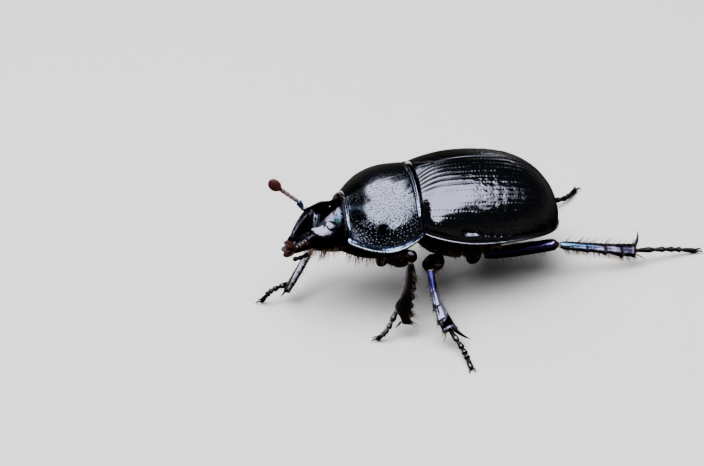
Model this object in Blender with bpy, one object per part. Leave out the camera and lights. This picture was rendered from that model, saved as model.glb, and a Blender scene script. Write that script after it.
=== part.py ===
"""A forest dung beetle (Anoplotrupes stercorosus), life size, standing in mid stride.

Body lengths are millimetres in the hindbody frame: the origin is on the midline where the pronotum
meets the elytra, at the height of the elytra's side margins, with +X to the beetle's left, +Y
backwards and +Z up. to_world() pitches, rolls and lifts that frame, so that the beetle stands on
Z = 0 with its head towards -Y. Leg joints are given in the standing frame.
"""

import math

import bmesh
import bpy
from mathutils import Matrix, Vector

MM = 0.001

# Stance
BODY_PITCH = math.radians(13.0)  # nose up
BODY_ROLL = math.radians(2.4)  # left side up
BODY_HEIGHT = 5.8
CENTRE_X = 0.15  # middle of the standing beetle's box, moved onto the origin
CENTRE_Y = 3.7

# Elytra
ELYTRA_LENGTH = 9.67
ELYTRA_HALF_WIDTH = 4.65
ELYTRA_RISE = 3.98
ELYTRA_SECTION_POWER = 2.1
ELYTRA_WIDEST = 0.335  # share of the length
ELYTRA_HIGHEST = 0.40
BASE_WIDTH_SHARE = 0.838
BASE_RISE_SHARE = 0.676
ELYTRON_THICKNESS_SHARE = 0.12
SUTURE_HALF_GAP = 0.02
SCUTELLUM_LENGTH = 1.15
SCUTELLUM_HALF_WIDTH = 0.76

# Pronotum, in a frame that tilts about TILT_PIVOT
PRONOTUM_LENGTH = 4.47
PRONOTUM_HALF_WIDTH = 4.61
PRONOTUM_FRONT_HALF_WIDTH = 2.72
PRONOTUM_REAR_HALF_WIDTH = 3.86
PRONOTUM_WIDEST = 0.62
PRONOTUM_FRONT_RISE = 1.64
PRONOTUM_REAR_RISE = 2.62
PRONOTUM_SECTION_POWER = 2.17
PRONOTUM_DOME = 0.20  # how far it swells between its front and rear edges
FRONT_ROUNDING = 0.40  # how much rounder than its middle the pronotum is at its front edge
REAR_DIP = 0.11  # how far its rear edge sinks at the top
FRONT_CORNER_REACH = 0.35
REAR_CORNER_REACH = 0.245
TILT_PIVOT = Vector((0.0, 0.0, 1.0))
PRONOTUM_PITCH = math.radians(12.3)  # front down
PRONOTUM_ROLL = math.radians(2.9)  # left side down

# Clearances between neighbouring solids
GAP = 0.05
CUTTER_GROWTH = 0.06

# Legs
COXA_RADIUS = {"front": 0.60, "middle": 0.62, "hind": 0.66}
KNEE_RADIUS = 0.40
FEMUR_HALF_WIDTH = {"front": 0.62, "middle": 0.62, "hind": 0.60}
TARSUS_RADIUS = 0.25
TARSUS_SEGMENTS = 5
LEG_JOINTS = {  # coxa, knee, ankle, arch of the tarsus, toe
    "front_left": (
        (1.60, -2.50, 3.30),
        (4.80, -1.05, 4.95),
        (6.30, -2.25, 1.02),
        (6.25, -3.45, 0.75),
        (6.00, -4.10, 0.16),
    ),
    "front_right": (
        (-1.50, -2.50, 3.20),
        (-3.10, -6.22, 2.75),
        (-1.00, -8.70, 0.90),
        (-1.25, -9.65, 1.02),
        (-1.65, -10.35, 0.16),
    ),
    "middle_left": (
        (2.45, 0.90, 2.70),
        (5.40, -0.12, 4.45),
        (8.40, 0.27, 1.15),
        (10.20, 0.74, 0.50),
        (11.85, 0.80, 0.16),
    ),
    "middle_right": (
        (-2.30, 0.90, 2.50),
        (-5.40, 0.30, 4.20),
        (-8.30, 1.90, 1.15),
        (-10.00, 2.50, 0.45),
        (-11.60, 3.30, 0.16),
    ),
    "hind_left": (
        (1.85, 3.40, 2.35),
        (2.65, 8.55, 2.45),
        (3.10, 13.80, 1.05),
        (3.10, 16.10, 0.62),
        (3.20, 17.85, 0.16),
    ),
    "hind_right": (
        (-1.60, 3.40, 2.25),
        (-6.20, 4.95, 3.55),
        (-6.00, 9.40, 0.95),
        (-6.60, 11.30, 0.42),
        (-8.00, 12.50, 0.16),
    ),
}
FORE_SHIN_TURN = {"front_left": 0.0, "front_right": math.radians(28.0)}  # about the shin's own line
MIDDLE_SHIN_BOW = 0.20

# Colours and finishes: base colour, roughness, metallic
FINISHES = {
    "black_plate": ((0.012, 0.012, 0.016), 0.22, 0.0),
    "blue_plate": ((0.014, 0.018, 0.045), 0.24, 0.0),
    "head_plate": ((0.014, 0.014, 0.020), 0.30, 0.0),
    "underside": ((0.016, 0.014, 0.022), 0.35, 0.0),
    "eye": ((0.020, 0.020, 0.030), 0.08, 0.0),
    "violet_leg": ((0.060, 0.050, 0.220), 0.25, 0.6),
    "black_leg": ((0.020, 0.016, 0.024), 0.30, 0.0),
    "antenna_stalk": ((0.120, 0.070, 0.060), 0.40, 0.0),
    "antenna_club": ((0.130, 0.030, 0.022), 0.55, 0.0),
}


# ---------------------------------------------------------------- frames


def body_matrix():
    """The hindbody frame in the standing frame, in metres."""
    turn = Matrix.Rotation(-BODY_ROLL, 4, "Y") @ Matrix.Rotation(-BODY_PITCH, 4, "X")
    lift = Matrix.Translation((-CENTRE_X, -CENTRE_Y, BODY_HEIGHT))
    return Matrix.Scale(MM, 4) @ lift @ turn


def standing_matrix():
    """The leg joints' frame, in metres and centred."""
    return Matrix.Scale(MM, 4) @ Matrix.Translation((-CENTRE_X, -CENTRE_Y, 0.0))


BODY = body_matrix()
STANDING = standing_matrix()


def tilted(point):
    """A point of the pronotum's own frame, in the hindbody frame."""
    turn = Matrix.Rotation(PRONOTUM_ROLL, 3, "Y") @ Matrix.Rotation(PRONOTUM_PITCH, 3, "X")
    return TILT_PIVOT + turn @ (point - TILT_PIVOT)


# ---------------------------------------------------------------- mesh helpers


def material(name):
    colour, roughness, metallic = FINISHES[name]
    made = bpy.data.materials.get(name) or bpy.data.materials.new(name)
    made.use_nodes = True
    shader = made.node_tree.nodes["Principled BSDF"]
    shader.inputs["Base Color"].default_value = (*colour, 1.0)
    shader.inputs["Roughness"].default_value = roughness
    shader.inputs["Metallic"].default_value = metallic
    made.diffuse_color = (*colour, 1.0)
    return made


def add_object(name, mesh_data, finish, frame):
    """An object from a bmesh in millimetres, moved into the world and shaded smooth."""
    bmesh.ops.remove_doubles(mesh_data, verts=mesh_data.verts, dist=0.002)
    bmesh.ops.transform(mesh_data, matrix=frame, verts=mesh_data.verts)
    bmesh.ops.recalc_face_normals(mesh_data, faces=mesh_data.faces)
    mesh = bpy.data.meshes.new(name)
    mesh_data.to_mesh(mesh)
    mesh_data.free()
    mesh.shade_smooth()
    mesh.set_sharp_from_angle(angle=math.radians(50))
    mesh.materials.append(material(finish))
    made = bpy.data.objects.new(name, mesh)
    bpy.context.scene.collection.objects.link(made)
    return made


def add_ring_body(mesh_data, rings):
    """Joins closed rings of equal count into one closed body, with a fan over each end."""
    rows = [[mesh_data.verts.new(point) for point in ring] for ring in rings]
    count = len(rows[0])
    for first, second in zip(rows, rows[1:]):
        for i in range(count):
            j = (i + 1) % count
            mesh_data.faces.new((first[i], first[j], second[j], second[i]))
    for row in (rows[0], rows[-1]):
        middle = sum((corner.co for corner in row), Vector()) / count
        hub = mesh_data.verts.new(middle)
        for i in range(count):
            mesh_data.faces.new((row[i], row[(i + 1) % count], hub))


def ring_object(name, rings, finish, frame=BODY):
    mesh_data = bmesh.new()
    add_ring_body(mesh_data, rings)
    return add_object(name, mesh_data, finish, frame)


def add_shell(mesh_data, outer, inner):
    """A closed shell between two equal grids of points, with walls round their borders."""
    outside = [[mesh_data.verts.new(point) for point in row] for row in outer]
    inside = [[mesh_data.verts.new(point) for point in row] for row in inner]
    rows, columns = len(outside), len(outside[0])
    for i in range(rows - 1):
        for j in range(columns - 1):
            for grid in (outside, inside):
                mesh_data.faces.new((grid[i][j], grid[i][j + 1], grid[i + 1][j + 1], grid[i + 1][j]))
    border = [(0, j) for j in range(columns)]
    border += [(i, columns - 1) for i in range(1, rows)]
    border += [(rows - 1, j) for j in range(columns - 2, -1, -1)]
    border += [(i, 0) for i in range(rows - 2, 0, -1)]
    for (i, j), (k, m) in zip(border, border[1:] + border[:1]):
        mesh_data.faces.new((outside[i][j], outside[k][m], inside[k][m], inside[i][j]))


def cut(target, cutters):
    """Takes each cutter out of the target with a Boolean and hides it."""
    for cutter in cutters:
        cutter.hide_render = True
        cutter.display_type = "WIRE"
        modifier = target.modifiers.new(f"clear of {cutter.name}", "BOOLEAN")
        modifier.operation = "DIFFERENCE"
        modifier.object = cutter


def unite(target, additions):
    """Grows the target by each addition with a Boolean union and hides the addition."""
    for addition in additions:
        addition.hide_render = True
        addition.display_type = "WIRE"
        modifier = target.modifiers.new(f"with {addition.name}", "BOOLEAN")
        modifier.operation = "UNION"
        modifier.object = addition


def ellipsoid(name, centre, radii, finish, frame=BODY, turn=None, detail=12):
    mesh_data = bmesh.new()
    bmesh.ops.create_uvsphere(mesh_data, u_segments=detail, v_segments=detail * 2 // 3, radius=1.0)
    place = Matrix.Translation(centre) @ (turn or Matrix.Identity(4)) @ Matrix.Diagonal((*radii, 1.0))
    bmesh.ops.transform(mesh_data, matrix=place, verts=mesh_data.verts)
    return add_object(name, mesh_data, finish, frame)


def between(stations, share):
    """Reads a table of (share, value) stations with straight stretches between them."""
    for (start, low), (end, high) in zip(stations, stations[1:]):
        if share <= end:
            return low + (high - low) * (share - start) / (end - start)
    return stations[-1][1]


def smooth_path(points, count):
    """Catmull-Rom points through a few given ones."""
    points = [Vector(point) for point in points]
    padded = [2 * points[0] - points[1], *points, 2 * points[-1] - points[-2]]
    spans = len(points) - 1
    path = []
    for step in range(count + 1):
        position = step * spans / count
        span = min(int(position), spans - 1)
        t = position - span
        a, b, c, d = padded[span : span + 4]
        slope, bend, twist = c - a, 2 * a - 5 * b + 4 * c - d, 3 * b - a - 3 * c + d
        path.append(b + 0.5 * (slope * t + bend * t**2 + twist * t**3))
    return path


def limb_rings(path, widths, depths, side, count=10, power=2.0):
    """Rings round a path. side is the direction in which the widths are measured."""
    rings = []
    for i, centre in enumerate(path):
        along = (path[min(i + 1, len(path) - 1)] - path[max(i - 1, 0)]).normalized()
        across = (side - along * side.dot(along)).normalized()
        normal = along.cross(across)
        ring = []
        for step in range(count):
            angle = 2 * math.pi * step / count
            cosine, sine = math.cos(angle), math.sin(angle)
            x = widths[i] * math.copysign(abs(cosine) ** (2 / power), cosine)
            y = depths[i] * math.copysign(abs(sine) ** (2 / power), sine)
            ring.append(centre + across * x + normal * y)
        rings.append(ring)
    return rings


# ---------------------------------------------------------------- hindbody


def elytra_half_width(t):
    if t <= ELYTRA_WIDEST:
        short = (ELYTRA_WIDEST - t) / ELYTRA_WIDEST
        return ELYTRA_HALF_WIDTH * (1 - (1 - BASE_WIDTH_SHARE) * short**2)
    past = (t - ELYTRA_WIDEST) / (1 - ELYTRA_WIDEST)
    return ELYTRA_HALF_WIDTH * max(0.0, 1 - past**2.54) ** (1 / 2.54)


def elytra_rise(t):
    if t <= ELYTRA_HIGHEST:
        short = (ELYTRA_HIGHEST - t) / ELYTRA_HIGHEST
        return ELYTRA_RISE * (1 - (1 - BASE_RISE_SHARE) * short**2)
    past = (t - ELYTRA_HIGHEST) / (1 - ELYTRA_HIGHEST)
    return ELYTRA_RISE * max(0.0, 1 - past**2.13) ** (1 / 2.13)


def margin_level(t):
    """Height of the elytra's side margin: it sinks in the middle and towards the tail."""
    return -0.153 * math.sin(math.pi * t) - 0.272 * t - 0.146 * math.sin(2 * math.pi * t)


def elytra_point(t, angle):
    """A point of the domed back: angle 0 is the left margin, pi / 2 the ridge, pi the right margin."""
    cosine, sine = math.cos(angle), max(0.0, math.sin(angle))
    x = elytra_half_width(t) * math.copysign(abs(cosine) ** (2 / ELYTRA_SECTION_POWER), cosine)
    z = margin_level(t) + elytra_rise(t) * sine ** (2 / ELYTRA_SECTION_POWER)
    return Vector((x, t * ELYTRA_LENGTH, z))


DOME_CENTRE = Vector((0.0, 0.45 * ELYTRA_LENGTH, -0.15))


def shrunk(point, share):
    """The point drawn towards the middle of the dome, which gives a nested surface."""
    return DOME_CENTRE + (point - DOME_CENTRE) * (1 - share)


def length_steps(count):
    """Shares of the length from 0 to 1, closer together towards the rounded tail."""
    return [math.sin(0.5 * math.pi * step / count) for step in range(count + 1)]


def inner_edge_angle(t):
    """Where an elytron ends on the inside: along the scutellum, then along the suture."""
    y = t * ELYTRA_LENGTH
    edge = SUTURE_HALF_GAP
    if y < SCUTELLUM_LENGTH:
        edge = max(edge, (SCUTELLUM_HALF_WIDTH + GAP) * (1 - y / SCUTELLUM_LENGTH) + GAP)
    share = min(1.0, edge / max(elytra_half_width(t), edge))
    return math.acos(share ** (ELYTRA_SECTION_POWER / 2))


def elytron(side, sign):
    rows, columns = 16, 8
    outer = []
    for t in length_steps(rows):
        last = inner_edge_angle(t)
        row = [elytra_point(t, last * step / columns) for step in range(columns + 1)]
        outer.append([Vector((sign * max(p.x, SUTURE_HALF_GAP), p.y, p.z)) for p in row])
    inner = [[shrunk(point, ELYTRON_THICKNESS_SHARE) for point in row] for row in outer]
    for row in inner:
        for point in row:
            point.x = sign * max(abs(point.x), SUTURE_HALF_GAP)
    mesh_data = bmesh.new()
    add_shell(mesh_data, outer, inner)
    return add_object(f"elytron_{side}", mesh_data, "black_plate", BODY)


def scutellum():
    """The small triangular plate between the elytra's bases."""
    rings = []
    for share in (0.0, 0.3, 0.6, 0.85, 1.0):
        y = -0.22 + share * (SCUTELLUM_LENGTH + 0.15)
        half = max(0.04, SCUTELLUM_HALF_WIDTH * (1 - share) ** 0.9)
        t = max(0.0, y) / ELYTRA_LENGTH
        top = margin_level(t) + elytra_rise(t) - 0.05 + 0.25 * min(0.0, y)
        ring = [Vector((half * x, y, top - 0.10 * abs(x) ** 2)) for x in (1, 0.5, 0, -0.5, -1)]
        ring += [Vector((half * 0.9 * x, y, top - 0.5)) for x in (-1, 0, 1)]
        rings.append(ring)
    return ring_object("scutellum", rings, "black_plate")


BELLY_DEPTH = (
    (0.0, 2.30),
    (0.10, 2.75),
    (0.30, 2.85),
    (0.45, 2.70),
    (0.60, 1.95),
    (0.80, 1.10),
    (0.95, 0.60),
    (1.0, 0.35),
)
BELLY_SECTION_POWER = 1.5


def trunk_ring(t, y, width_share, rise_share, depth):
    """A closed section of the trunk under the elytra: the dome above and the belly below."""
    half, level = elytra_half_width(t) * width_share, margin_level(t)
    ring = []
    steps = 10
    for step in range(steps + 1):
        angle = math.pi * step / steps
        cosine, sine = math.cos(angle), max(0.0, math.sin(angle))
        x = half * math.copysign(abs(cosine) ** (2 / ELYTRA_SECTION_POWER), cosine)
        rise = elytra_rise(t) * rise_share * sine ** (2 / ELYTRA_SECTION_POWER)
        ring.append(Vector((x, y, level + rise)))
    for step in range(steps - 1, 0, -1):
        angle = math.pi * step / steps
        cosine, sine = math.cos(angle), math.sin(angle)
        x = half * 0.96 * math.copysign(abs(cosine) ** (2 / BELLY_SECTION_POWER), cosine)
        ring.append(Vector((x, y, level - 0.12 - depth * sine ** (2 / BELLY_SECTION_POWER))))
    return ring


def trunk_piece(name, start, end, rings_wanted, finish):
    share = 1 - ELYTRON_THICKNESS_SHARE - 0.015
    rings = []
    for step in range(rings_wanted + 1):
        t = start + (end - start) * step / rings_wanted
        y = DOME_CENTRE.y + (t * ELYTRA_LENGTH - DOME_CENTRE.y) * share
        if t == 0.0:
            rings.append(trunk_ring(t, GAP, 0.74, 0.74, 2.2))
        rings.append(trunk_ring(t, y, share, share, between(BELLY_DEPTH, t)))
    return ring_object(name, rings, finish)


# ---------------------------------------------------------------- forebody


def pronotum_half_width(v):
    """v runs from 0 at the front edge to 1 at the rear edge."""
    if v < PRONOTUM_WIDEST:
        loss = PRONOTUM_HALF_WIDTH - PRONOTUM_FRONT_HALF_WIDTH
        return PRONOTUM_HALF_WIDTH - loss * ((PRONOTUM_WIDEST - v) / PRONOTUM_WIDEST) ** 2
    loss = PRONOTUM_HALF_WIDTH - PRONOTUM_REAR_HALF_WIDTH
    return PRONOTUM_HALF_WIDTH - loss * ((v - PRONOTUM_WIDEST) / (1 - PRONOTUM_WIDEST)) ** 2


def pronotum_point(v, angle, rise_share=1.0):
    half = pronotum_half_width(v)
    rise = PRONOTUM_FRONT_RISE + (PRONOTUM_REAR_RISE - PRONOTUM_FRONT_RISE) * math.sin(v * math.pi / 2)
    level = -0.137 * (1 - v) - 0.295 * math.sin(math.pi * v)
    cosine, sine = math.cos(angle), max(0.0, math.sin(angle))
    power = PRONOTUM_SECTION_POWER - FRONT_ROUNDING * (1 - v) ** 2
    x = half * math.copysign(abs(cosine) ** (2 / power), cosine)
    z = level + rise * rise_share * sine ** (2 / power)
    out = abs(x) / half
    y = -PRONOTUM_LENGTH * (1 - v) - FRONT_CORNER_REACH * (1 - v) * out**2 - REAR_CORNER_REACH * v * out**3
    swell = PRONOTUM_DOME * math.sin(math.pi * v**0.9) ** 1.5 * min(1.0, sine / 0.75)
    swell -= REAR_DIP * v**5 * sine**1.5
    return tilted(Vector((x + swell * cosine, y, z + swell * sine)))


def pronotum():
    rings, steps, floor_steps = [], 16, 4
    for k in range(12):
        v = k / 11
        ring = [pronotum_point(v, math.pi * step / steps) for step in range(steps + 1)]
        left, right = ring[0], ring[-1]
        ring += [right.lerp(left, step / floor_steps) for step in range(1, floor_steps)]
        rings.append(ring)
    return ring_object("pronotum", rings, "blue_plate")


PROSTERNUM_DEPTH = ((0.0, 1.25), (0.25, 1.9), (0.6, 2.25), (0.85, 2.15), (1.0, 2.1))


def prosternum():
    """The underside of the forebody, with the hollowed flanks that the fore legs move in."""
    rings, steps = [], 12
    flank_power = 1.15
    for k in range(9):
        v = 0.03 + 0.94 * k / 8
        left, right = pronotum_point(v, 0.0), pronotum_point(v, math.pi)
        middle, half = (left + right) / 2, (left - right) * 0.5 * 0.87
        drop = Vector((0, 0, -0.09))
        depth = between(PROSTERNUM_DEPTH, v)
        ring = [middle + drop + half * (1 - 2 * step / 6) for step in range(7)]
        for step in range(steps - 1, 0, -1):
            angle = math.pi * step / steps
            cosine, sine = math.cos(angle), math.sin(angle)
            x = 0.98 * math.copysign(abs(cosine) ** (2 / flank_power), cosine)
            ring.append(middle + drop * 1.6 + half * x + Vector((0, 0, -depth * sine ** (2 / flank_power))))
        rings.append(ring)
    return ring_object("prosternum", rings, "underside")


# ---------------------------------------------------------------- head

# Sections of the head from the neck to the clypeus: crown (y, z), rim (half width, y, z), throat (y, z).
# The rim is the sharp side edge that runs from the cheek over the eye to the front of the clypeus.
HEAD_SECTIONS = (
    ((-4.58, 0.02), (1.85, -4.58, -0.95), (-4.58, -2.60)),
    ((-5.10, -0.02), (1.90, -5.10, -0.98), (-5.05, -2.80)),
    ((-5.55, -0.12), (1.86, -5.55, -1.05), (-5.50, -2.86)),
    ((-6.00, -0.26), (2.00, -6.00, -1.14), (-5.90, -2.82)),
    ((-6.45, -0.48), (1.90, -6.42, -1.26), (-6.30, -2.68)),
    ((-6.85, -0.87), (1.60, -6.82, -1.46), (-6.65, -2.54)),
    ((-7.25, -1.50), (1.25, -7.20, -1.98), (-6.95, -2.48)),
    ((-7.52, -2.05), (0.84, -7.46, -2.36), (-7.28, -2.58)),
    ((-7.60, -2.36), (0.50, -7.56, -2.46), (-7.46, -2.60)),
)
CHEEK_SHARE = 0.86  # width under the rim
RIM_THICKNESS = 0.10
EYE_CENTRE = Vector((1.60, -5.62, -0.87))
EYE_RADII = (0.42, 0.46, 0.47)


def head():
    rings = []
    upper_steps, lower_steps = 10, 8
    for (crown_y, crown_z), (half, rim_y, rim_z), (throat_y, throat_z) in HEAD_SECTIONS:
        rim = Vector((0, rim_y, rim_z))
        to_crown = Vector((0, crown_y - rim_y, crown_z - rim_z))
        to_throat = Vector((0, throat_y - rim_y, throat_z - rim_z + RIM_THICKNESS))
        ring = []
        for step in range(upper_steps + 1):
            angle = math.pi * step / upper_steps
            ring.append(rim + Vector((half * math.cos(angle), 0, 0)) + to_crown * max(0.0, math.sin(angle)))
        below = rim - Vector((0, 0, RIM_THICKNESS))
        for step in range(lower_steps + 1):
            angle = math.pi * step / lower_steps
            x = -half * CHEEK_SHARE * math.cos(angle)
            ring.append(below + Vector((x, 0, 0)) + to_throat * max(0.0, math.sin(angle)) ** 0.8)
        rings.append(ring)
    return ring_object("head", rings, "head_plate")


def eye(side, sign, growth=0.0):
    centre = Vector((sign * EYE_CENTRE.x, EYE_CENTRE.y, EYE_CENTRE.z))
    radii = [radius + growth for radius in EYE_RADII]
    name = f"eye_{side}" if not growth else f"eye_socket_{side}"
    return ellipsoid(name, centre, radii, "eye", detail=10)


MANDIBLE_PATH = ((1.02, -6.45, -2.10), (1.00, -6.95, -2.36), (0.78, -7.42, -2.70), (0.32, -7.72, -2.94))


def mandible(side, sign, growth=0.0):
    """A curved jaw under the clypeus, closing towards the midline."""
    path = smooth_path([(sign * x, y, z) for x, y, z in MANDIBLE_PATH], 6)
    widths = [between(((0, 0.36), (0.5, 0.34), (1, 0.20)), i / 6) + growth for i in range(7)]
    depths = [between(((0, 0.34), (0.5, 0.26), (1, 0.16)), i / 6) + growth for i in range(7)]
    rings = limb_rings(path, widths, depths, Vector((1, 0, 0)))
    name = f"mandible_{side}" if not growth else f"mandible_room_{side}"
    return ring_object(name, rings, "head_plate")


def labrum():
    """The short lip in front of the clypeus."""
    rings = []
    for share, half in ((0.0, 0.52), (0.5, 0.54), (1.0, 0.40)):
        centre = Vector((0, -7.68 - 0.20 * share, -2.53 - 0.07 * share))
        outline = [(x, 0.12 - 0.05 * abs(x)) for x in (1, 0.5, 0, -0.5, -1)]
        outline += [(x, -0.12) for x in (-1, 0, 1)]
        ring = [centre + Vector((half * x, 0.10 * abs(x), z)) for x, z in outline]
        rings.append(ring)
    return ring_object("labrum", rings, "antenna_stalk")


ANTENNA_PATHS = {
    "left": ((1.99, -6.72, -1.62), (2.06, -7.05, -1.72), (2.10, -7.40, -1.88), (2.10, -7.72, -2.00)),
    "right": ((-2.02, -6.60, -1.22), (-2.30, -6.91, -0.79), (-2.70, -7.42, -0.54), (-3.10, -7.92, -0.31)),
}
CLUB_RADII = (0.46, 0.36, 0.16)
CLUB_FAN = {"left": math.radians(24), "right": math.radians(5)}
CLUB_STEP = {"left": 0.18, "right": 0.16}
CLUB_AXIS = {"left": Vector((0.06, -0.98, -0.10)), "right": Vector((-0.36, -0.81, 0.46))}
CLUB_LAYER = {"left": Vector((0.25, -0.10, 0.96)), "right": Vector((0.88, -0.30, 0.36))}


def antenna_stalk(side):
    """Scape and funicle: a thicker first length, then small beads."""
    beads = 8
    path = smooth_path(ANTENNA_PATHS[side], beads)
    radii = [0.27 if i < 3 else 0.25 + 0.02 * (i % 2) for i in range(beads + 1)]
    rings = limb_rings(path, radii, radii, Vector((0.3, 0, 1)), count=7)
    return ring_object(f"antenna_stalk_{side}", rings, "antenna_stalk")


def antenna_club(side):
    """Three flat leaves that spread from the end of the stalk."""
    along = CLUB_AXIS[side].normalized()
    layer = (CLUB_LAYER[side] - along * CLUB_LAYER[side].dot(along)).normalized()
    across = layer.cross(along)
    root = Vector(ANTENNA_PATHS[side][-1]) + along * (0.05 + GAP)
    leaves = []
    for place in (0, -1, 1):
        spread = Matrix.Rotation(place * CLUB_FAN[side], 3, across)
        axes = [spread @ axis for axis in (along, across, layer)]
        turn = Matrix(axes).transposed().to_4x4()
        centre = root + axes[0] * CLUB_RADII[0] + axes[2] * place * CLUB_STEP[side]
        leaf = {0: "antenna_club", 1: "upper_leaf", -1: "lower_leaf"}[place]
        name = f"{leaf}_{side}"
        leaves.append(ellipsoid(name, centre, CLUB_RADII, "antenna_club", turn=turn, detail=10))
    unite(leaves[0], leaves[1:])
    return leaves[0]


PALP_PATH = ((0.62, -6.55, -3.12), (0.66, -7.05, -3.36), (0.62, -7.56, -3.52))


def palp(side, sign):
    path = smooth_path([(sign * x, y, z) for x, y, z in PALP_PATH], 5)
    radii = [between(((0, 0.18), (0.7, 0.22), (1, 0.13)), i / 5) for i in range(6)]
    rings = limb_rings(path, radii, radii, Vector((1, 0, 0)), count=7)
    return ring_object(f"palp_{side}", rings, "antenna_stalk")


# ---------------------------------------------------------------- legs


def outward(name):
    return 1.0 if name.endswith("left") else -1.0


def coxa(name, growth=0.0):
    pair = name.split("_")[0]
    radius = COXA_RADIUS[pair] + growth
    made = f"{name}_coxa" if not growth else f"{name}_coxal_cavity"
    centre = Vector(LEG_JOINTS[name][0])
    return ellipsoid(made, centre, (radius, radius, radius), "underside", STANDING, detail=8)


def femur(name, growth=0.0):
    """A flattened spindle from the coxa to the rounded knee."""
    pair = name.split("_")[0]
    hip, knee = Vector(LEG_JOINTS[name][0]), Vector(LEG_JOINTS[name][1])
    along = (knee - hip).normalized()
    start = hip + along * (COXA_RADIUS[pair] + GAP + 0.04)
    end = knee + along * KNEE_RADIUS
    widest = FEMUR_HALF_WIDTH[pair]
    swell = (
        (0, 0.26),
        (0.12, 0.42),
        (0.40, widest),
        (0.62, widest * 0.94),
        (0.86, 0.42),
        (0.95, 0.34),
        (1, 0.16),
    )
    steps = 9
    shares = [math.sin(0.5 * math.pi * i / steps) for i in range(steps + 1)]
    path = [start.lerp(end, share) for share in shares]
    widths = [between(swell, share) + growth for share in shares]
    depths = [min(width, 0.34 + 0.18 * width) + growth for width in widths]
    side = Vector((0, 0, 1)) if pair != "hind" else Vector((1, 0, 0.4))
    made = f"{name}_femur" if not growth else f"{name}_femur_room"
    finish = "black_leg" if pair == "front" else "violet_leg"
    return ring_object(made, limb_rings(path, widths, depths, side, count=7), finish, STANDING)


def tibia_line(name):
    knee, ankle = Vector(LEG_JOINTS[name][1]), Vector(LEG_JOINTS[name][2])
    along = (ankle - knee).normalized()
    return knee + along * (KNEE_RADIUS + GAP + 0.02), ankle, along


FRONT_TEETH = 6


def inward_direction(name):
    """Square to a fore shin, towards the side on which its tarsus grows."""
    _, end, along = tibia_line(name)
    inward = Vector(LEG_JOINTS[name][4]) - end
    inward = (inward - along * inward.dot(along)).normalized()
    return Matrix.Rotation(FORE_SHIN_TURN[name], 3, along) @ inward


def front_tibia(name):
    """A digging shin: its outer edge carries teeth that grow towards the tip."""
    start, end, along = tibia_line(name)
    inward = inward_direction(name)
    face = along.cross(inward)
    rings, steps = [], 2 * FRONT_TEETH + 4
    for i in range(steps + 1):
        share = i / steps
        centre = start.lerp(end, share)
        inner = 0.25 + 0.13 * share
        outer = 0.25 + 0.22 * share
        tooth = i >= 4 and i % 2 == 0
        outer += (0.10 + 0.32 * share) if tooth else 0.0
        thick = 0.25 + 0.04 * math.sin(math.pi * share)
        corners = ((inner, 0), (inner * 0.7, 1), (0, 1.1), (-outer * 0.6, 0.9), (-outer, 0))
        ring = [centre + inward * x + face * thick * y for x, y in corners]
        ring += [centre + inward * x - face * thick * y for x, y in corners[3:0:-1]]
        rings.append(ring)
    return ring_object(f"{name}_tibia", rings, "black_leg", STANDING)


def long_tibia(name):
    """A middle or hind shin: narrow at the knee, flaring in ridges to a cup that carries two spurs."""
    start, end, along = tibia_line(name)
    steps = 10
    flare = ((0, 0.24), (0.35, 0.25), (0.6, 0.35), (0.9, 0.50), (1, 0.46))
    ridges = {5: 0.06, 8: 0.07}
    is_hind = name.startswith("hind")
    side = Vector((0, 0, 1)) if is_hind else Vector((0, 1, 0))
    across = (side - along * side.dot(along)).normalized()
    bow = 0.0 if is_hind else MIDDLE_SHIN_BOW
    shares = [i / steps for i in range(steps + 1)]
    path = [start.lerp(end, share) - across * bow * math.sin(math.pi * share) for share in shares]
    widths = [between(flare, i / steps) + ridges.get(i, 0.0) for i in range(steps + 1)]
    depths = [0.26 + 0.30 * (width - 0.24) for width in widths]
    rings = limb_rings(path, widths, depths, side, count=8)
    shin = ring_object(f"{name}_tibia", rings, "violet_leg", STANDING)
    long_lean = along * 0.25 + across if is_hind else along * 0.75 + across * 0.65
    short_lean = along * 0.85 - across * 0.5
    spurs = []
    for label, sign, lean, length in (("long", 1.0, long_lean, 1.35), ("short", -1.0, short_lean, 0.9)):
        root = end - along * 0.15 + across * sign * 0.22
        tip = root + lean.normalized() * length
        radii = (0.20, 0.18, 0.12, 0.04)
        spur_path = [root.lerp(tip, i / 3) for i in range(4)]
        rings = limb_rings(spur_path, radii, radii, along.cross(across), count=6)
        flatten(rings)
        spurs.append(ring_object(f"{name}_{label}_spur", rings, "black_leg", STANDING))
    unite(shin, spurs)
    return shin


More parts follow.
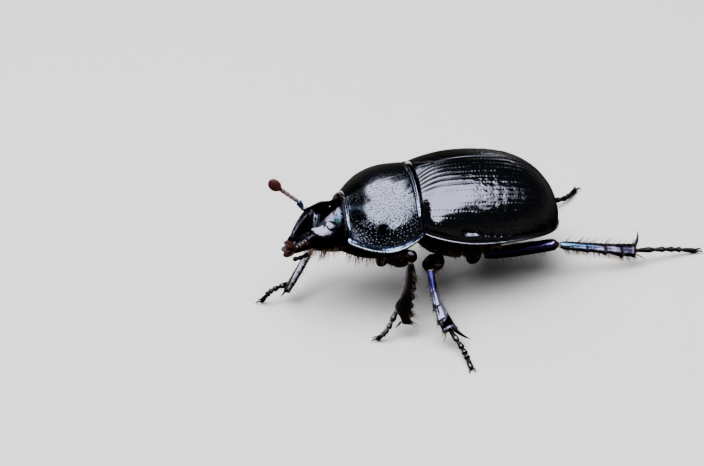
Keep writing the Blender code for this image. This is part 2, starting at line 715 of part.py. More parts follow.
def tarsus(name):
    """Five beads that thicken towards their ends, with two claws, resting on small flats."""
    _, ankle, along = tibia_line(name)
    arch, toe = Vector(LEG_JOINTS[name][3]), Vector(LEG_JOINTS[name][4])
    root = ankle + along * 0.34
    if name.startswith("front"):
        knee = Vector(LEG_JOINTS[name][1])
        root = knee.lerp(ankle, 0.82) + inward_direction(name) * 0.62
    per_segment = 2
    steps = TARSUS_SEGMENTS * per_segment
    path = smooth_path((root, arch, toe), steps)
    radii = []
    for i in range(steps + 1):
        share = (i % per_segment) / per_segment
        radii.append(TARSUS_RADIUS * (0.88 + 0.26 * share))
    rings = limb_rings(path, radii, radii, Vector((0, 0, 1)), count=6)
    flatten(rings)
    foot = ring_object(f"{name}_tarsus", rings, "black_leg", STANDING)
    heading = (toe - arch).normalized()
    heading = Vector((heading.x, heading.y, 0)).normalized()
    sideways = Vector((-heading.y, heading.x, 0))
    claws = []
    for label, sign in (("outer", 1.0), ("inner", -1.0)):
        points = (
            toe - heading * 0.10 + sideways * sign * 0.08 + Vector((0, 0, 0.06)),
            toe + heading * 0.22 + sideways * sign * 0.22 + Vector((0, 0, 0.08)),
            toe + heading * 0.42 + sideways * sign * 0.24 + Vector((0, 0, -0.08)),
        )
        claw_path = smooth_path(points, 2)
        claw_radii = (0.14, 0.12, 0.04)
        claw_rings = limb_rings(claw_path, claw_radii, claw_radii, Vector((0, 0, 1)), count=5)
        flatten(claw_rings)
        claws.append(ring_object(f"{name}_{label}_claw", claw_rings, "black_leg", STANDING))
    unite(foot, claws)
    return foot


def flatten(rings):
    """Presses what would sink below the ground flat onto it."""
    for ring in rings:
        for point in ring:
            point.z = max(point.z, 0.0)


# ---------------------------------------------------------------- the whole beetle


def clear_scene():
    for old in list(bpy.data.objects):
        bpy.data.objects.remove(old, do_unlink=True)


def main():
    clear_scene()
    for side, sign in (("left", 1.0), ("right", -1.0)):
        elytron(side, sign)
        eye(side, sign)
        mandible(side, sign)
        antenna_stalk(side)
        antenna_club(side)
        palp(side, sign)
    scutellum()
    pronotum()
    labrum()
    skull = head()
    fore_trunk = prosternum()
    middle_trunk = trunk_piece("metasternum", 0.0, 0.47, 8, "underside")
    rear_trunk = trunk_piece("abdomen", 0.48, 0.985, 9, "underside")
    for side, sign in (("left", 1.0), ("right", -1.0)):
        cut(skull, (eye(side, sign, 0.03), mandible(side, sign, CUTTER_GROWTH)))
    cavities = {}
    for name in LEG_JOINTS:
        coxa(name)
        femur(name)
        if name.startswith("front"):
            front_tibia(name)
        else:
            long_tibia(name)
        tarsus(name)
        cavities[name] = coxa(name, CUTTER_GROWTH)
    cut(fore_trunk, (cavities["front_left"], cavities["front_right"]))
    hind_cavities = (cavities["hind_left"], cavities["hind_right"])
    cut(middle_trunk, (cavities["middle_left"], cavities["middle_right"], *hind_cavities))
    cut(rear_trunk, hind_cavities)


main()
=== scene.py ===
"""The looks of a forest dung beetle in mid stride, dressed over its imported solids.

Body lengths are millimetres in the hindbody frame: origin on the midline where the pronotum meets
the elytra, at the height of the elytra's side margins, +X to the beetle's left, +Y backwards, +Z up.
Leg lengths are millimetres in the standing frame, whose floor is Z = 0.
t runs from 0 at the base of the elytra to 1 at their tip, and v from 0 at the front edge of the pronotum
to 1 at its rear edge.
"""

import math

import bpy
import numpy as np
from mathutils import Matrix, Vector, kdtree


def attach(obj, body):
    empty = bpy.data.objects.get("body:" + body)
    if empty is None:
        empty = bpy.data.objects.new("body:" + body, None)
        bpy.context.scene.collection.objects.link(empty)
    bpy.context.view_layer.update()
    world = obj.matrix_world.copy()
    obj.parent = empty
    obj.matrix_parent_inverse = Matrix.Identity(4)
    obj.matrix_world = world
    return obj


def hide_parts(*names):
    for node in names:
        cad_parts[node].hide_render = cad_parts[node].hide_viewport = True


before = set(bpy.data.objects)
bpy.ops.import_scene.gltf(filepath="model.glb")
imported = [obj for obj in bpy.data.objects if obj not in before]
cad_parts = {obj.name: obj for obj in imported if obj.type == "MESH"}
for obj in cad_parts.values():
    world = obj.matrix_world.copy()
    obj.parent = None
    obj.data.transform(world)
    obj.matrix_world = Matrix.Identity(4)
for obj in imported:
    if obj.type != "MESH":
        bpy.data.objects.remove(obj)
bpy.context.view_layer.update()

MM = 0.001
RNG = np.random.default_rng(7)
ZERO = np.zeros(3)

# ---------------------------------------------------------------- frames and shape constants

BODY_PITCH = math.radians(13.0)
BODY_ROLL = math.radians(2.4)
CENTRE = np.array([0.15, 3.7, 0.0])
BODY_LIFT = np.array([0.0, 0.0, 5.8])
BODY_TURN = np.array(Matrix.Rotation(-BODY_ROLL, 3, "Y") @ Matrix.Rotation(-BODY_PITCH, 3, "X"))

ELYTRA_LENGTH = 9.67
ELYTRA_HALF_WIDTH = 4.65
ELYTRA_RISE = 3.98
ELYTRA_SECTION_POWER = 2.1
ELYTRA_WIDTH_POWER = 2.54
ELYTRA_RISE_POWER = 2.13
ELYTRA_WIDEST = 0.335
ELYTRA_HIGHEST = 0.40
BASE_WIDTH_SHARE = 0.838
BASE_RISE_SHARE = 0.676
SCUTELLUM_LENGTH = 1.15
SCUTELLUM_HALF_WIDTH = 0.76
SUTURE_GAP = 0.012
SURFACE_LIFT = 0.012  # how far the ornamented plates stand over their solids

PRONOTUM_LENGTH = 4.47
PRONOTUM_HALF_WIDTH = 4.61
PRONOTUM_FRONT_HALF_WIDTH = 2.72
PRONOTUM_REAR_HALF_WIDTH = 3.86
PRONOTUM_WIDEST = 0.62
PRONOTUM_FRONT_RISE = 1.64
PRONOTUM_REAR_RISE = 2.62
PRONOTUM_SECTION_POWER = 2.17
FRONT_ROUNDING = 0.40
FRONT_CORNER_REACH = 0.35
REAR_CORNER_REACH = 0.245
PRONOTUM_TURN = np.array(
    Matrix.Rotation(math.radians(2.9), 3, "Y") @ Matrix.Rotation(math.radians(12.3), 3, "X")
)
TILT_PIVOT = np.array([0.0, 0.0, 1.0])


def body_to_world(points):
    return (points @ BODY_TURN.T + BODY_LIFT - CENTRE) * MM


def standing_to_world(points):
    return (points - CENTRE) * MM


def full_turn(count):
    """Angles once round, without the closing one."""
    return 2 * math.pi * np.arange(count) / count


def unit(vectors):
    vectors = np.asarray(vectors, float)
    return vectors / np.maximum(np.linalg.norm(vectors, axis=-1, keepdims=True), 1e-12)


def bell(distance, width):
    return np.exp(-((distance / width) ** 2))


def ramp(value, low, high):
    """0 below low, 1 above high, smooth between. fall() is the other way round."""
    share = np.clip((value - low) / (high - low), 0.0, 1.0)
    return share * share * (3 - 2 * share)


def fall(value, low, high):
    return 1 - ramp(value, low, high)


def signed_power(value, power):
    return np.sign(value) * np.abs(value) ** power


def table(stations, shares):
    """Reads (share, value...) stations with smooth stretches between them."""
    stations = np.asarray(stations, float)
    shares = np.asarray(shares, float)
    places, values = stations[:, 0], stations[:, 1:]
    slopes = np.gradient(values, places, axis=0)
    index = np.clip(np.searchsorted(places, shares, side="right") - 1, 0, len(places) - 2)
    span = places[index + 1] - places[index]
    part = np.clip((shares - places[index]) / span, 0.0, 1.0)[..., None]
    first_slope, last_slope = slopes[index] * span[..., None], slopes[index + 1] * span[..., None]
    read = (2 * part**3 - 3 * part**2 + 1) * values[index] + (part**3 - 2 * part**2 + part) * first_slope
    read += (-2 * part**3 + 3 * part**2) * values[index + 1] + (part**3 - part**2) * last_slope
    return read[..., 0] if values.shape[1] == 1 else read


def smooth_path(points, count):
    """Catmull-Rom points through a few given ones."""
    points = np.asarray(points, float)
    return table(np.column_stack([np.linspace(0, 1, len(points)), points]), np.linspace(0, 1, count))


def wavy(points, scale, seed):
    """Smooth pseudo-random relief from sums of sines in turned directions, about -1 to 1."""
    octaves, waves = 3, 5
    rng = np.random.default_rng(seed)
    total = np.zeros(points.shape[:-1])
    weight = 0.0
    for octave in range(octaves):
        size = 1.9**octave
        for _ in range(waves):
            direction = unit(rng.normal(size=3)) * scale * size * rng.uniform(0.7, 1.3)
            total += np.sin(points @ direction + rng.uniform(0, 6.28)) / size
        weight += waves**0.5 / size
    return total / weight


def sheet_normals(points):
    return unit(np.cross(np.gradient(points, axis=0), np.gradient(points, axis=1)))


def outward_normals(points, inside):
    """Normals of a sheet of points, turned away from a point inside it."""
    normals = sheet_normals(points)
    return normals * np.sign((normals * (points - inside)).sum(-1, keepdims=True))


def row_run(points):
    """How far each point lies along its row from the row's first point."""
    steps = np.linalg.norm(np.diff(points, axis=1), axis=-1)
    return np.concatenate([np.zeros((len(points), 1)), np.cumsum(steps, axis=1)], axis=1)


# ---------------------------------------------------------------- mesh pieces


class Piece:
    """Gathers points, faces and a colour for each point, then makes one object of them."""

    def __init__(self):
        self.points, self.tones, self.quads, self.tris, self.grains = [], [], [], [], []
        self.count = 0

    def add(self, points, quads, tris, tone, grain):
        self.points.append(points)
        self.tones.append(tone)
        self.grains.append(grain)
        self.quads.append(np.asarray(quads, np.int64).reshape(-1, 4) + self.count)
        self.tris.append(np.asarray(tris, np.int64).reshape(-1, 3) + self.count)
        self.count += len(points)

    def grid(self, points, closed=False, tone=ZERO, grain=None):
        """A sheet of points in rows, faced outwards. closed joins each row's ends and caps the sheet."""
        rows, columns = points.shape[:2]
        index = np.arange(rows * columns).reshape(rows, columns)
        following = np.roll(index, -1, axis=1) if closed else index[:, 1:]
        here = index if closed else index[:, :-1]
        quads = np.stack([here[:-1], following[:-1], following[1:], here[1:]], axis=-1).reshape(-1, 4)
        tris = np.zeros((0, 3), np.int64)
        flat = points.reshape(-1, 3)
        tone = np.broadcast_to(tone, (rows, columns, 3)).reshape(-1, 3)
        grain = flat if grain is None else grain.reshape(-1, 3)
        if closed:
            hubs = np.array([points[0].mean(axis=0), points[-1].mean(axis=0)])
            flat = np.vstack([flat, hubs])
            tone = np.vstack([tone, tone[:1], tone[-1:]])
            grain = np.vstack([grain, grain[:1], grain[-1:]])
            hub = np.full(columns, rows * columns)
            first = np.stack([np.roll(index[0], -1), index[0], hub], axis=-1)
            last = np.stack([index[-1], np.roll(index[-1], -1), hub + 1], axis=-1)
            tris = np.vstack([first, last])
        if np.linalg.det(flat[quads[:, :3]] - flat.mean(axis=0)).sum() < 0:
            quads, tris = quads[:, ::-1], tris[:, ::-1]
        self.add(flat, quads, tris, tone, grain)

    def tube(self, path, widths, depths, side, sides=20, tone=ZERO):
        """A closed limb round a path. widths lie along side, depths square to it."""
        self.grid(tube_grid(path, widths, depths, side, sides), True, tone)

    def finish(self, name, finish, node, slot, body=True, uv=None):
        """body says that the points are in the body frame, and not in the standing frame."""
        points = np.vstack(self.points)
        world = body_to_world(points) if body else standing_to_world(points)
        mesh = bpy.data.meshes.new(name)
        quads, tris = np.vstack(self.quads), np.vstack(self.tris)
        loops = np.concatenate([quads.ravel(), tris.ravel()])
        starts = np.concatenate([np.arange(len(quads)) * 4, len(quads) * 4 + np.arange(len(tris)) * 3])
        mesh.vertices.add(len(world))
        mesh.vertices.foreach_set("co", world.astype(np.float32).ravel())
        mesh.loops.add(len(loops))
        mesh.loops.foreach_set("vertex_index", loops.astype(np.int32))
        mesh.polygons.add(len(starts))
        mesh.polygons.foreach_set("loop_start", starts.astype(np.int32))
        mesh.update(calc_edges=True)
        mesh.validate()
        mesh.shade_smooth()
        colours = np.ones((len(world), 4), np.float32)
        colours[:, :3] = np.vstack(self.tones)
        mesh.attributes.new("tone", "FLOAT_COLOR", "POINT").data.foreach_set("color", colours.ravel())
        grain = np.vstack(self.grains).astype(np.float32).ravel()
        mesh.attributes.new("grain", "FLOAT_VECTOR", "POINT").data.foreach_set("vector", grain)
        if uv is not None:
            layer = mesh.uv_layers.new(name="OFBake")
            layer.data.foreach_set("uv", uv[loops].astype(np.float32).ravel())
        mesh.materials.append(finish)
        made = bpy.data.objects.new(name, mesh)
        bpy.context.scene.collection.objects.link(made)
        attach(made, "root")
        if node:
            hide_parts(node)


def closed_piece(name, points, finish, node, slot, tone=ZERO, body=True):
    """A piece of one sheet, closed round and capped."""
    piece = Piece()
    piece.grid(points, True, tone)
    piece.finish(name, finish, node, slot, body)


def tube_grid(path, widths, depths, side, sides, power=2.0, swell=None):
    """Rings round a path. swell(shares, angles) gives an added outward reach for each point."""
    path = np.asarray(path, float)
    along = unit(np.gradient(path, axis=0))
    side = np.broadcast_to(np.asarray(side, float), path.shape)
    across = unit(side - along * (along * side).sum(axis=1, keepdims=True))
    normal = np.cross(along, across)
    angles = full_turn(sides)
    x = signed_power(np.cos(angles), 2 / power) * widths[:, None]
    y = signed_power(np.sin(angles), 2 / power) * depths[:, None]
    if swell is not None:
        added = swell(np.linspace(0, 1, len(path))[:, None], angles[None, :])
        x = x + added * np.cos(angles)
        y = y + added * np.sin(angles)
    return path[:, None] + across[:, None] * x[..., None] + normal[:, None] * y[..., None]


def blob(piece, centre, radii, turn, rows=40, columns=56, tone=ZERO, relief=None):
    """A closed rounded body; relief(direction vectors) scales its reach."""
    polar = math.pi * np.linspace(0.01, 0.99, rows)[:, None]
    around = full_turn(columns)[None, :]
    shape = [np.sin(polar) * np.cos(around), np.sin(polar) * np.sin(around), np.cos(polar) + 0 * around]
    shape = np.stack(shape, -1)
    reach = 1.0 if relief is None else relief(shape)[..., None]
    piece.grid(shape * reach * np.asarray(radii) @ np.asarray(turn) + np.asarray(centre), True, tone)


def thorn(piece, root, tip, radius, tone, sides, steps, bend=ZERO):
    """A tapered spike from root to tip; bend is an added sideways reach at mid length."""
    share = np.linspace(0, 1, steps + 1)
    path = root + (tip - root) * share[:, None] + bend * (4 * share * (1 - share))[:, None]
    width = radius * np.maximum(0.06, (1 - share) ** 0.75)
    side = (0.0, 0.0, 1.0) if abs(unit(tip - root)[2]) < 0.8 else (1.0, 0.0, 0.0)
    piece.tube(path, width, width, side, sides, tone=tone)


def axes_of(along, layer):
    """Rows of a turn: first axis along, third as near layer as it can be."""
    along = unit(along)
    layer = np.asarray(layer, float)
    layer = unit(layer - along * (along @ layer))
    return np.array([along, np.cross(layer, along), layer])


def hairs(name, roots, directions, lengths, thick, curl, uv, colour, spread=0.35, body=True):
    """One mesh of tapered three-sided bristles, with random lengths and shades. curl bends each of them."""
    steps, sides = 4, 3
    count = len(roots)
    lengths = RNG.uniform(*lengths, count)
    tones = colour * RNG.uniform(1 - spread, 1 + spread, (count, 1))
    directions = unit(directions)
    share = np.linspace(0, 1, steps + 1)
    centre = roots[:, None] + directions[:, None] * (lengths[:, None] * share)[..., None]
    centre = centre + np.asarray(curl) * (lengths[:, None] * share**2)[..., None]
    helper = np.where(np.abs(directions[:, 2:]) < 0.8, [[0.0, 0.0, 1.0]], [[1.0, 0.0, 0.0]])
    first = unit(np.cross(directions, helper))
    second = np.cross(directions, first)
    radius = thick * np.maximum(0.12, (1 - share) ** 0.6)
    angles = full_turn(sides)
    ring = first[:, None] * np.cos(angles)[:, None] + second[:, None] * np.sin(angles)[:, None]
    points = centre[:, :, None] + ring[:, None] * radius[:, None, None]
    per = (steps + 1) * sides
    offsets = (np.arange(count) * per)[:, None, None]
    base = np.arange(steps * sides).reshape(steps, sides)
    after = np.roll(base, -1, axis=1)
    quads = np.stack([base, after, after + sides, base + sides], axis=-1).reshape(-1, 4)
    tips = np.array([[per - 3, per - 2, per - 1]])
    patch = [np.tile(share[:, None] * 0.003, (1, sides)), np.tile(angles * 0.0004, (steps + 1, 1))]
    coordinates = np.clip(uv, 0.01, 0.98)[:, None] + np.stack(patch, -1).reshape(1, per, 2)
    fade = np.repeat(0.25 + 0.75 * ramp(share, 0.0, 0.5), sides)
    tones = np.repeat(tones, per, axis=0) * np.tile(fade, count)[:, None]
    points = points.reshape(-1, 3)
    made = Piece()
    made.add(points, quads[None] + offsets, tips[None] + offsets, tones, points)
    made.finish(name, BRISTLE, None, "bristle", body, coordinates.reshape(-1, 2))


# ---------------------------------------------------------------- materials


def node_links(material):
    tree = material.node_tree
    return tree.nodes, tree.links.new


PIT_EDGES = {"dots": (0.10, 0.30), "pits": (0.05, 0.42), "cells": (0.05, 0.75)}


def shell(name, dark, sheen, rough, relief, metallic=1.0, gloss=0.5, painted_shade_dots=False, edge=1.0):
    """Cuticle: two reflecting shades plus each piece's tone, which is its own colour and on some pieces also
    painted highlights and painted shade, uneven gloss, and layers of micro relief.

    relief lists (kind, cells per mm, depth in micrometres, stretch) layers.
    """
    made = bpy.data.materials.new(name)
    made.use_nodes = True
    nodes, link = node_links(made)
    shader = nodes["Principled BSDF"]
    shader.inputs["Specular IOR Level"].default_value = gloss
    shader.inputs["Metallic"].default_value = metallic
    shader.inputs["Specular Tint"].default_value = (edge, edge, edge, 1.0)
    grain, tone = nodes.new("ShaderNodeAttribute"), nodes.new("ShaderNodeAttribute")
    grain.attribute_name, tone.attribute_name = "grain", "tone"

    def noise(scale, detail, place):
        texture = nodes.new("ShaderNodeTexNoise")
        texture.inputs["Scale"].default_value = scale
        texture.inputs["Detail"].default_value = detail
        link(place, texture.inputs["Vector"])
        return texture.outputs["Fac"]

    def spread(value, *limits):
        """Maps a value from its own low and high to new ones."""
        made_range = nodes.new("ShaderNodeMapRange")
        for socket, limit in zip(("From Min", "From Max", "To Min", "To Max"), limits):
            made_range.inputs[socket].default_value = limit
        link(value, made_range.inputs["Value"])
        return made_range

    def mix(blend):
        made_mix = nodes.new("ShaderNodeMix")
        made_mix.data_type = "RGBA"
        made_mix.blend_type = blend
        made_mix.inputs["Factor"].default_value = 1.0
        return made_mix

    shades = mix("MIX")
    shades.inputs["A"].default_value = (*dark, 1.0)
    shades.inputs["B"].default_value = (*sheen, 1.0)
    mottle = noise(0.9, 4.0, grain.outputs["Vector"])
    link(spread(mottle, 0.35, 0.68, 0.0, 1.0).outputs["Result"], shades.inputs["Factor"])
    total = mix("ADD")
    link(shades.outputs["Result"], total.inputs["A"])
    link(tone.outputs["Color"], total.inputs["B"])
    colour = total.outputs["Result"]
    normal = None
    for kind, scale, depth, stretch in relief:
        mapping = nodes.new("ShaderNodeMapping")
        mapping.inputs["Scale"].default_value = stretch
        link(grain.outputs["Vector"], mapping.inputs["Vector"])
        if kind == "noise":
            height = noise(scale, 5.0, mapping.outputs["Vector"])
        else:
            texture = nodes.new("ShaderNodeTexVoronoi")
            texture.inputs["Scale"].default_value = scale
            texture.voronoi_dimensions = "2D" if kind == "dots" else "3D"
            link(mapping.outputs["Vector"], texture.inputs["Vector"])
            pit = spread(texture.outputs["Distance"], *PIT_EDGES[kind])
            pit.interpolation_type = "SMOOTHSTEP"
            height = pit.outputs["Result"]
            # Painted shade: inside the dots the base colour is darkened, standing in for the shade in the
            # pits.
            if kind == "dots" and painted_shade_dots:
                painted_dark = mix("MULTIPLY")
                link(colour, painted_dark.inputs["A"])
                link(spread(height, 0.0, 1.0, 0.0, 1.0).outputs["Result"], painted_dark.inputs["B"])
                colour = painted_dark.outputs["Result"]
        bump = nodes.new("ShaderNodeBump")
        bump.inputs["Strength"].default_value = 1.0
        bump.inputs["Distance"].default_value = depth * 1e-6
        link(height, bump.inputs["Height"])
        if normal is not None:
            link(normal, bump.inputs["Normal"])
        normal = bump.outputs["Normal"]
    link(colour, shader.inputs["Base Color"])
    uneven = spread(noise(3.2, 6.0, grain.outputs["Vector"]), 0.3, 0.7, *rough)
    link(uneven.outputs["Result"], shader.inputs["Roughness"])
    link(normal, shader.inputs["Normal"])
    return made


EVEN = (1.0, 1.0, 1.0)
BLACK_SHELL = shell(
    "black_shell", (0.100, 0.104, 0.128), (0.128, 0.133, 0.160), (0.07, 0.15),
    [("noise", 6.0, 4.0, (0.5, 1.8, 1.0)), ("noise", 30.0, 0.8, EVEN)],
)
# The blue shell's dots are darkened as painted shade.
BLUE_SHELL = shell(
    "blue_shell", (0.100, 0.106, 0.132), (0.125, 0.133, 0.168), (0.07, 0.14),
    [("dots", 5.0, 2.6, EVEN), ("noise", 24.0, 0.35, EVEN)], painted_shade_dots=True,
)
HEAD_SHELL = shell(
    "head_shell", (0.006, 0.006, 0.008), (0.014, 0.015, 0.020), (0.09, 0.18),
    [("cells", 7.0, 5.0, EVEN), ("noise", 18.0, 1.6, EVEN)], edge=0.35,
)
CHEEK_SHELL = shell(
    "cheek_shell", (0.110, 0.108, 0.140), (0.140, 0.138, 0.180), (0.10, 0.18),
    [("noise", 3.5, 22.0, EVEN), ("noise", 12.0, 4.0, EVEN)],
)
BELLY_SHELL = shell(
    "belly_shell", (0.020, 0.020, 0.027), (0.036, 0.034, 0.048), (0.22, 0.40),
    [("pits", 6.0, 14.0, EVEN), ("noise", 16.0, 6.0, EVEN)],
)
EYE_GLASS = shell(
    "eye_facets", (0.120, 0.115, 0.150), (0.145, 0.140, 0.180), (0.06, 0.12),
    [("cells", 24.0, 1.6, EVEN)],
)
VIOLET_SHELL = shell(
    "violet_shell", (0.040, 0.038, 0.066), (0.060, 0.054, 0.100), (0.14, 0.27),
    [("noise", 7.0, 7.0, EVEN), ("pits", 9.0, 7.0, EVEN)],
)
LEG_SHELL = shell(
    "black_leg_shell", (0.045, 0.038, 0.044), (0.075, 0.060, 0.066), (0.14, 0.30),
    [("noise", 8.0, 7.0, EVEN), ("pits", 10.0, 6.0, EVEN)],
)
FEELER_SHELL = shell(
    "feeler_shell", (0.012, 0.0040, 0.0034), (0.028, 0.0090, 0.0070), (0.14, 0.26),
    [("noise", 14.0, 3.0, EVEN)], metallic=0.0, gloss=0.80,
)
CLUB_VELVET = shell(
    "club_velvet", (0.013, 0.0020, 0.0015), (0.034, 0.0050, 0.0036), (0.30, 0.46),
    [("noise", 34.0, 6.0, EVEN), ("cells", 28.0, 3.0, EVEN)], metallic=0.0, gloss=0.25,
)
JOINT_SKIN = shell(
    "joint_skin", (0.13, 0.080, 0.040), (0.26, 0.180, 0.100), (0.40, 0.60),
    [("noise", 20.0, 8.0, EVEN)], metallic=0.0,
)
BRISTLE = shell(
    "bristle_gold", (0.006, 0.004, 0.002), (0.016, 0.010, 0.005), (0.30, 0.45),
    [("noise", 30.0, 1.0, EVEN)], metallic=0.0,
)


# ---------------------------------------------------------------- wing cases


def swelling(t, peak, start_share, power):
    """1 at the peak, down to start_share at the base and rounded off to 0 at the tip."""
    short = np.clip((peak - t) / peak, 0, 1)
    past = np.clip((t - peak) / (1 - peak), 0, 1)
    rounded = np.maximum(0, 1 - past**power) ** (1 / power)
    return np.where(t <= peak, 1 - (1 - start_share) * short**2, rounded)


def elytra_half_width(t):
    return ELYTRA_HALF_WIDTH * swelling(t, ELYTRA_WIDEST, BASE_WIDTH_SHARE, ELYTRA_WIDTH_POWER)


def elytra_rise(t):
    return ELYTRA_RISE * swelling(t, ELYTRA_HIGHEST, BASE_RISE_SHARE, ELYTRA_RISE_POWER)


def margin_level(t):
    return -0.153 * np.sin(math.pi * t) - 0.272 * t - 0.146 * np.sin(2 * math.pi * t)


def elytra_points(t, angle):
    cosine, sine = np.cos(angle), np.maximum(0.0, np.sin(angle))
    x = elytra_half_width(t) * signed_power(cosine, 2 / ELYTRA_SECTION_POWER)
    z = margin_level(t) + elytra_rise(t) * sine ** (2 / ELYTRA_SECTION_POWER)
    return np.stack([x, t * ELYTRA_LENGTH + 0 * x, z], axis=-1)


def inner_edge_angle(t):
    """Where an elytron ends on the inside: along the scutellum, then along the suture."""
    y = t * ELYTRA_LENGTH
    beside = (SCUTELLUM_HALF_WIDTH + 0.03) * (1 - y / SCUTELLUM_LENGTH) + 0.02
    edge = np.where(y < SCUTELLUM_LENGTH, np.maximum(SUTURE_GAP, beside), SUTURE_GAP)
    share = np.minimum(1.0, edge / np.maximum(elytra_half_width(t), edge))
    return np.arccos(share ** (ELYTRA_SECTION_POWER / 2))


STRIAE = 13
STRIAE_SPAN = STRIAE + 0.9  # furrow gaps from the suture to the margin
FIRST_STRIA = 0.35
# Colour taken off the base furrows as painted shade.
FURROW_SHADE_PAINT = np.array([0.099, 0.103, 0.126])
ELYTRON_LIPS = ((0.02, 0.09), (0.10, 0.15), (0.40, 0.13), (0.85, 0.05))  # how far inward, how far down
MARGIN_COLUMNS = 16  # the columns that carry the margin's colour
BEAD_POINTS = 260


def elytron_relief(t, across, striped, reach, margin_gap, basal):
    """Height of the surface ornament in mm.

    across and striped run from 0 at the suture to 1 at the margin; striped is eased beside the scutellum.
    basal is the strength of the furrows near the base.
    """
    y = t * ELYTRA_LENGTH
    relief = np.zeros_like(across)
    smooth = 1 - (1 - basal) * fall(y, 1.2, 2.6)
    # Furrows and their rows of dots, deep at the base and the suture, faint towards the margin.
    for i in range(1, STRIAE + 1):
        place = (i - FIRST_STRIA) / STRIAE_SPAN
        gap = (striped - place) * reach - 0.012 * np.sin(y * 2.3 + i * 1.7)
        depth = (1.0 - 0.45 * place) * ramp(t, 0.004, 0.03) * fall(t, 0.93, 0.985) * smooth
        line = 0.006 - 0.005 * ramp(across, 0.48, 0.62)
        line = line + 0.030 * bell(y - 0.8, 1.3) * fall(across, 0.43, 0.53)
        relief -= line * depth * bell(gap, 0.045)
        turns = 2 * math.pi * (y + 0.04 * np.sin(y * 5 + i * i)) / 0.215 + i * i * 1.37
        relief -= 0.020 * depth * (0.5 + 0.5 * np.cos(turns)) ** 3 * bell(gap, 0.055)
    # Rounded ridges between the furrows.
    crown = np.abs(np.sin(math.pi * (striped * STRIAE_SPAN + FIRST_STRIA)))
    relief += 0.005 * crown * fall(across, 0.48, 0.66) * ramp(t, 0.0, 0.04)
    relief += 0.040 * smooth * crown * bell(y - 0.9, 1.3) * fall(across, 0.41, 0.52)
    # The raised suture, the margin's bead and the gutter inside it.
    relief += 0.012 * bell(across * reach - 0.08, 0.06) - 0.014 * bell(across * reach - 0.19, 0.04)
    relief += 0.030 * bell(margin_gap, 0.060) - 0.025 * bell(margin_gap - 0.22, 0.11)
    # Dents above the gutter: two that meet, then a broken trail of small ones.
    dents = bell(t - 0.285, 0.032) + 0.9 * bell(t - 0.335, 0.030)
    relief -= 0.175 * dents * bell(margin_gap - 0.64, 0.17)
    broken = 0.5 + 0.6 * np.sin(y * 21.0) * np.sin(y * 8.3 + 1.0)
    broken = broken * ramp(t, 0.35, 0.39) * fall(t, 0.56, 0.66)
    relief -= 0.090 * broken * bell(margin_gap - 0.56 + 1.2 * np.clip(t - 0.36, 0, 0.3), 0.09)
    # The front edge bends down, a bump stands on the shoulder and a low one near the tail.
    relief -= 0.10 * fall(y, 0.0, 0.48) * ramp(across, 0.48, 0.62)
    relief += 0.13 * bell(y - 0.85, 0.65) * bell(margin_gap - 0.72, 0.50)
    relief += 0.05 * bell(y - 8.3, 0.5) * bell((across - 0.45) * reach, 0.8)
    return relief


def elytron_wrinkles(run, y, across):
    """Fine creases from the middle to the tail, and a slow unevenness all over."""
    woven = np.stack([run * 8.0 + y * 3.0, y * 9.0 - run * 4.0, 0 * y], -1)
    wrinkles = wavy(woven, 1.0, 11) * 0.0120 + wavy(woven * 2.3 + 5.0, 1.0, 14) * 0.0036
    wrinkles *= (0.10 + 0.90 * ramp(y, 2.2, 3.8)) * (1 - 0.5 * ramp(y, 6.0, 9.0)) * ramp(across, 0.02, 0.2)
    return wrinkles + wavy(np.stack([run * 1.2, y * 0.9, 0 * y], -1), 1.0, 12) * 0.010


def elytron_walls(surface, t):
    """Adds the walls: down at the front and the suture, and under the side margin."""
    edge = surface[:, -1]
    width = np.minimum(1.0, elytra_half_width(t) / 2.0)
    lips = []
    for reach_in, drop in ELYTRON_LIPS:
        lip = edge.copy()
        lip[:, 0] = np.maximum(edge[:, 0] - reach_in * width, SUTURE_GAP)
        lip[:, 1] -= reach_in * 0.7 * ramp(t, 0.85, 1.0)
        lip[:, 2] -= drop
        lips.append(lip)
    inner = surface[:, 0] - [0.0, 0.0, 0.25]
    sheet = np.concatenate([inner[:, None], surface, np.stack(lips, axis=1)], axis=1)
    return np.concatenate([sheet[:1] + [0.0, 0.02, -0.35], sheet], axis=0)


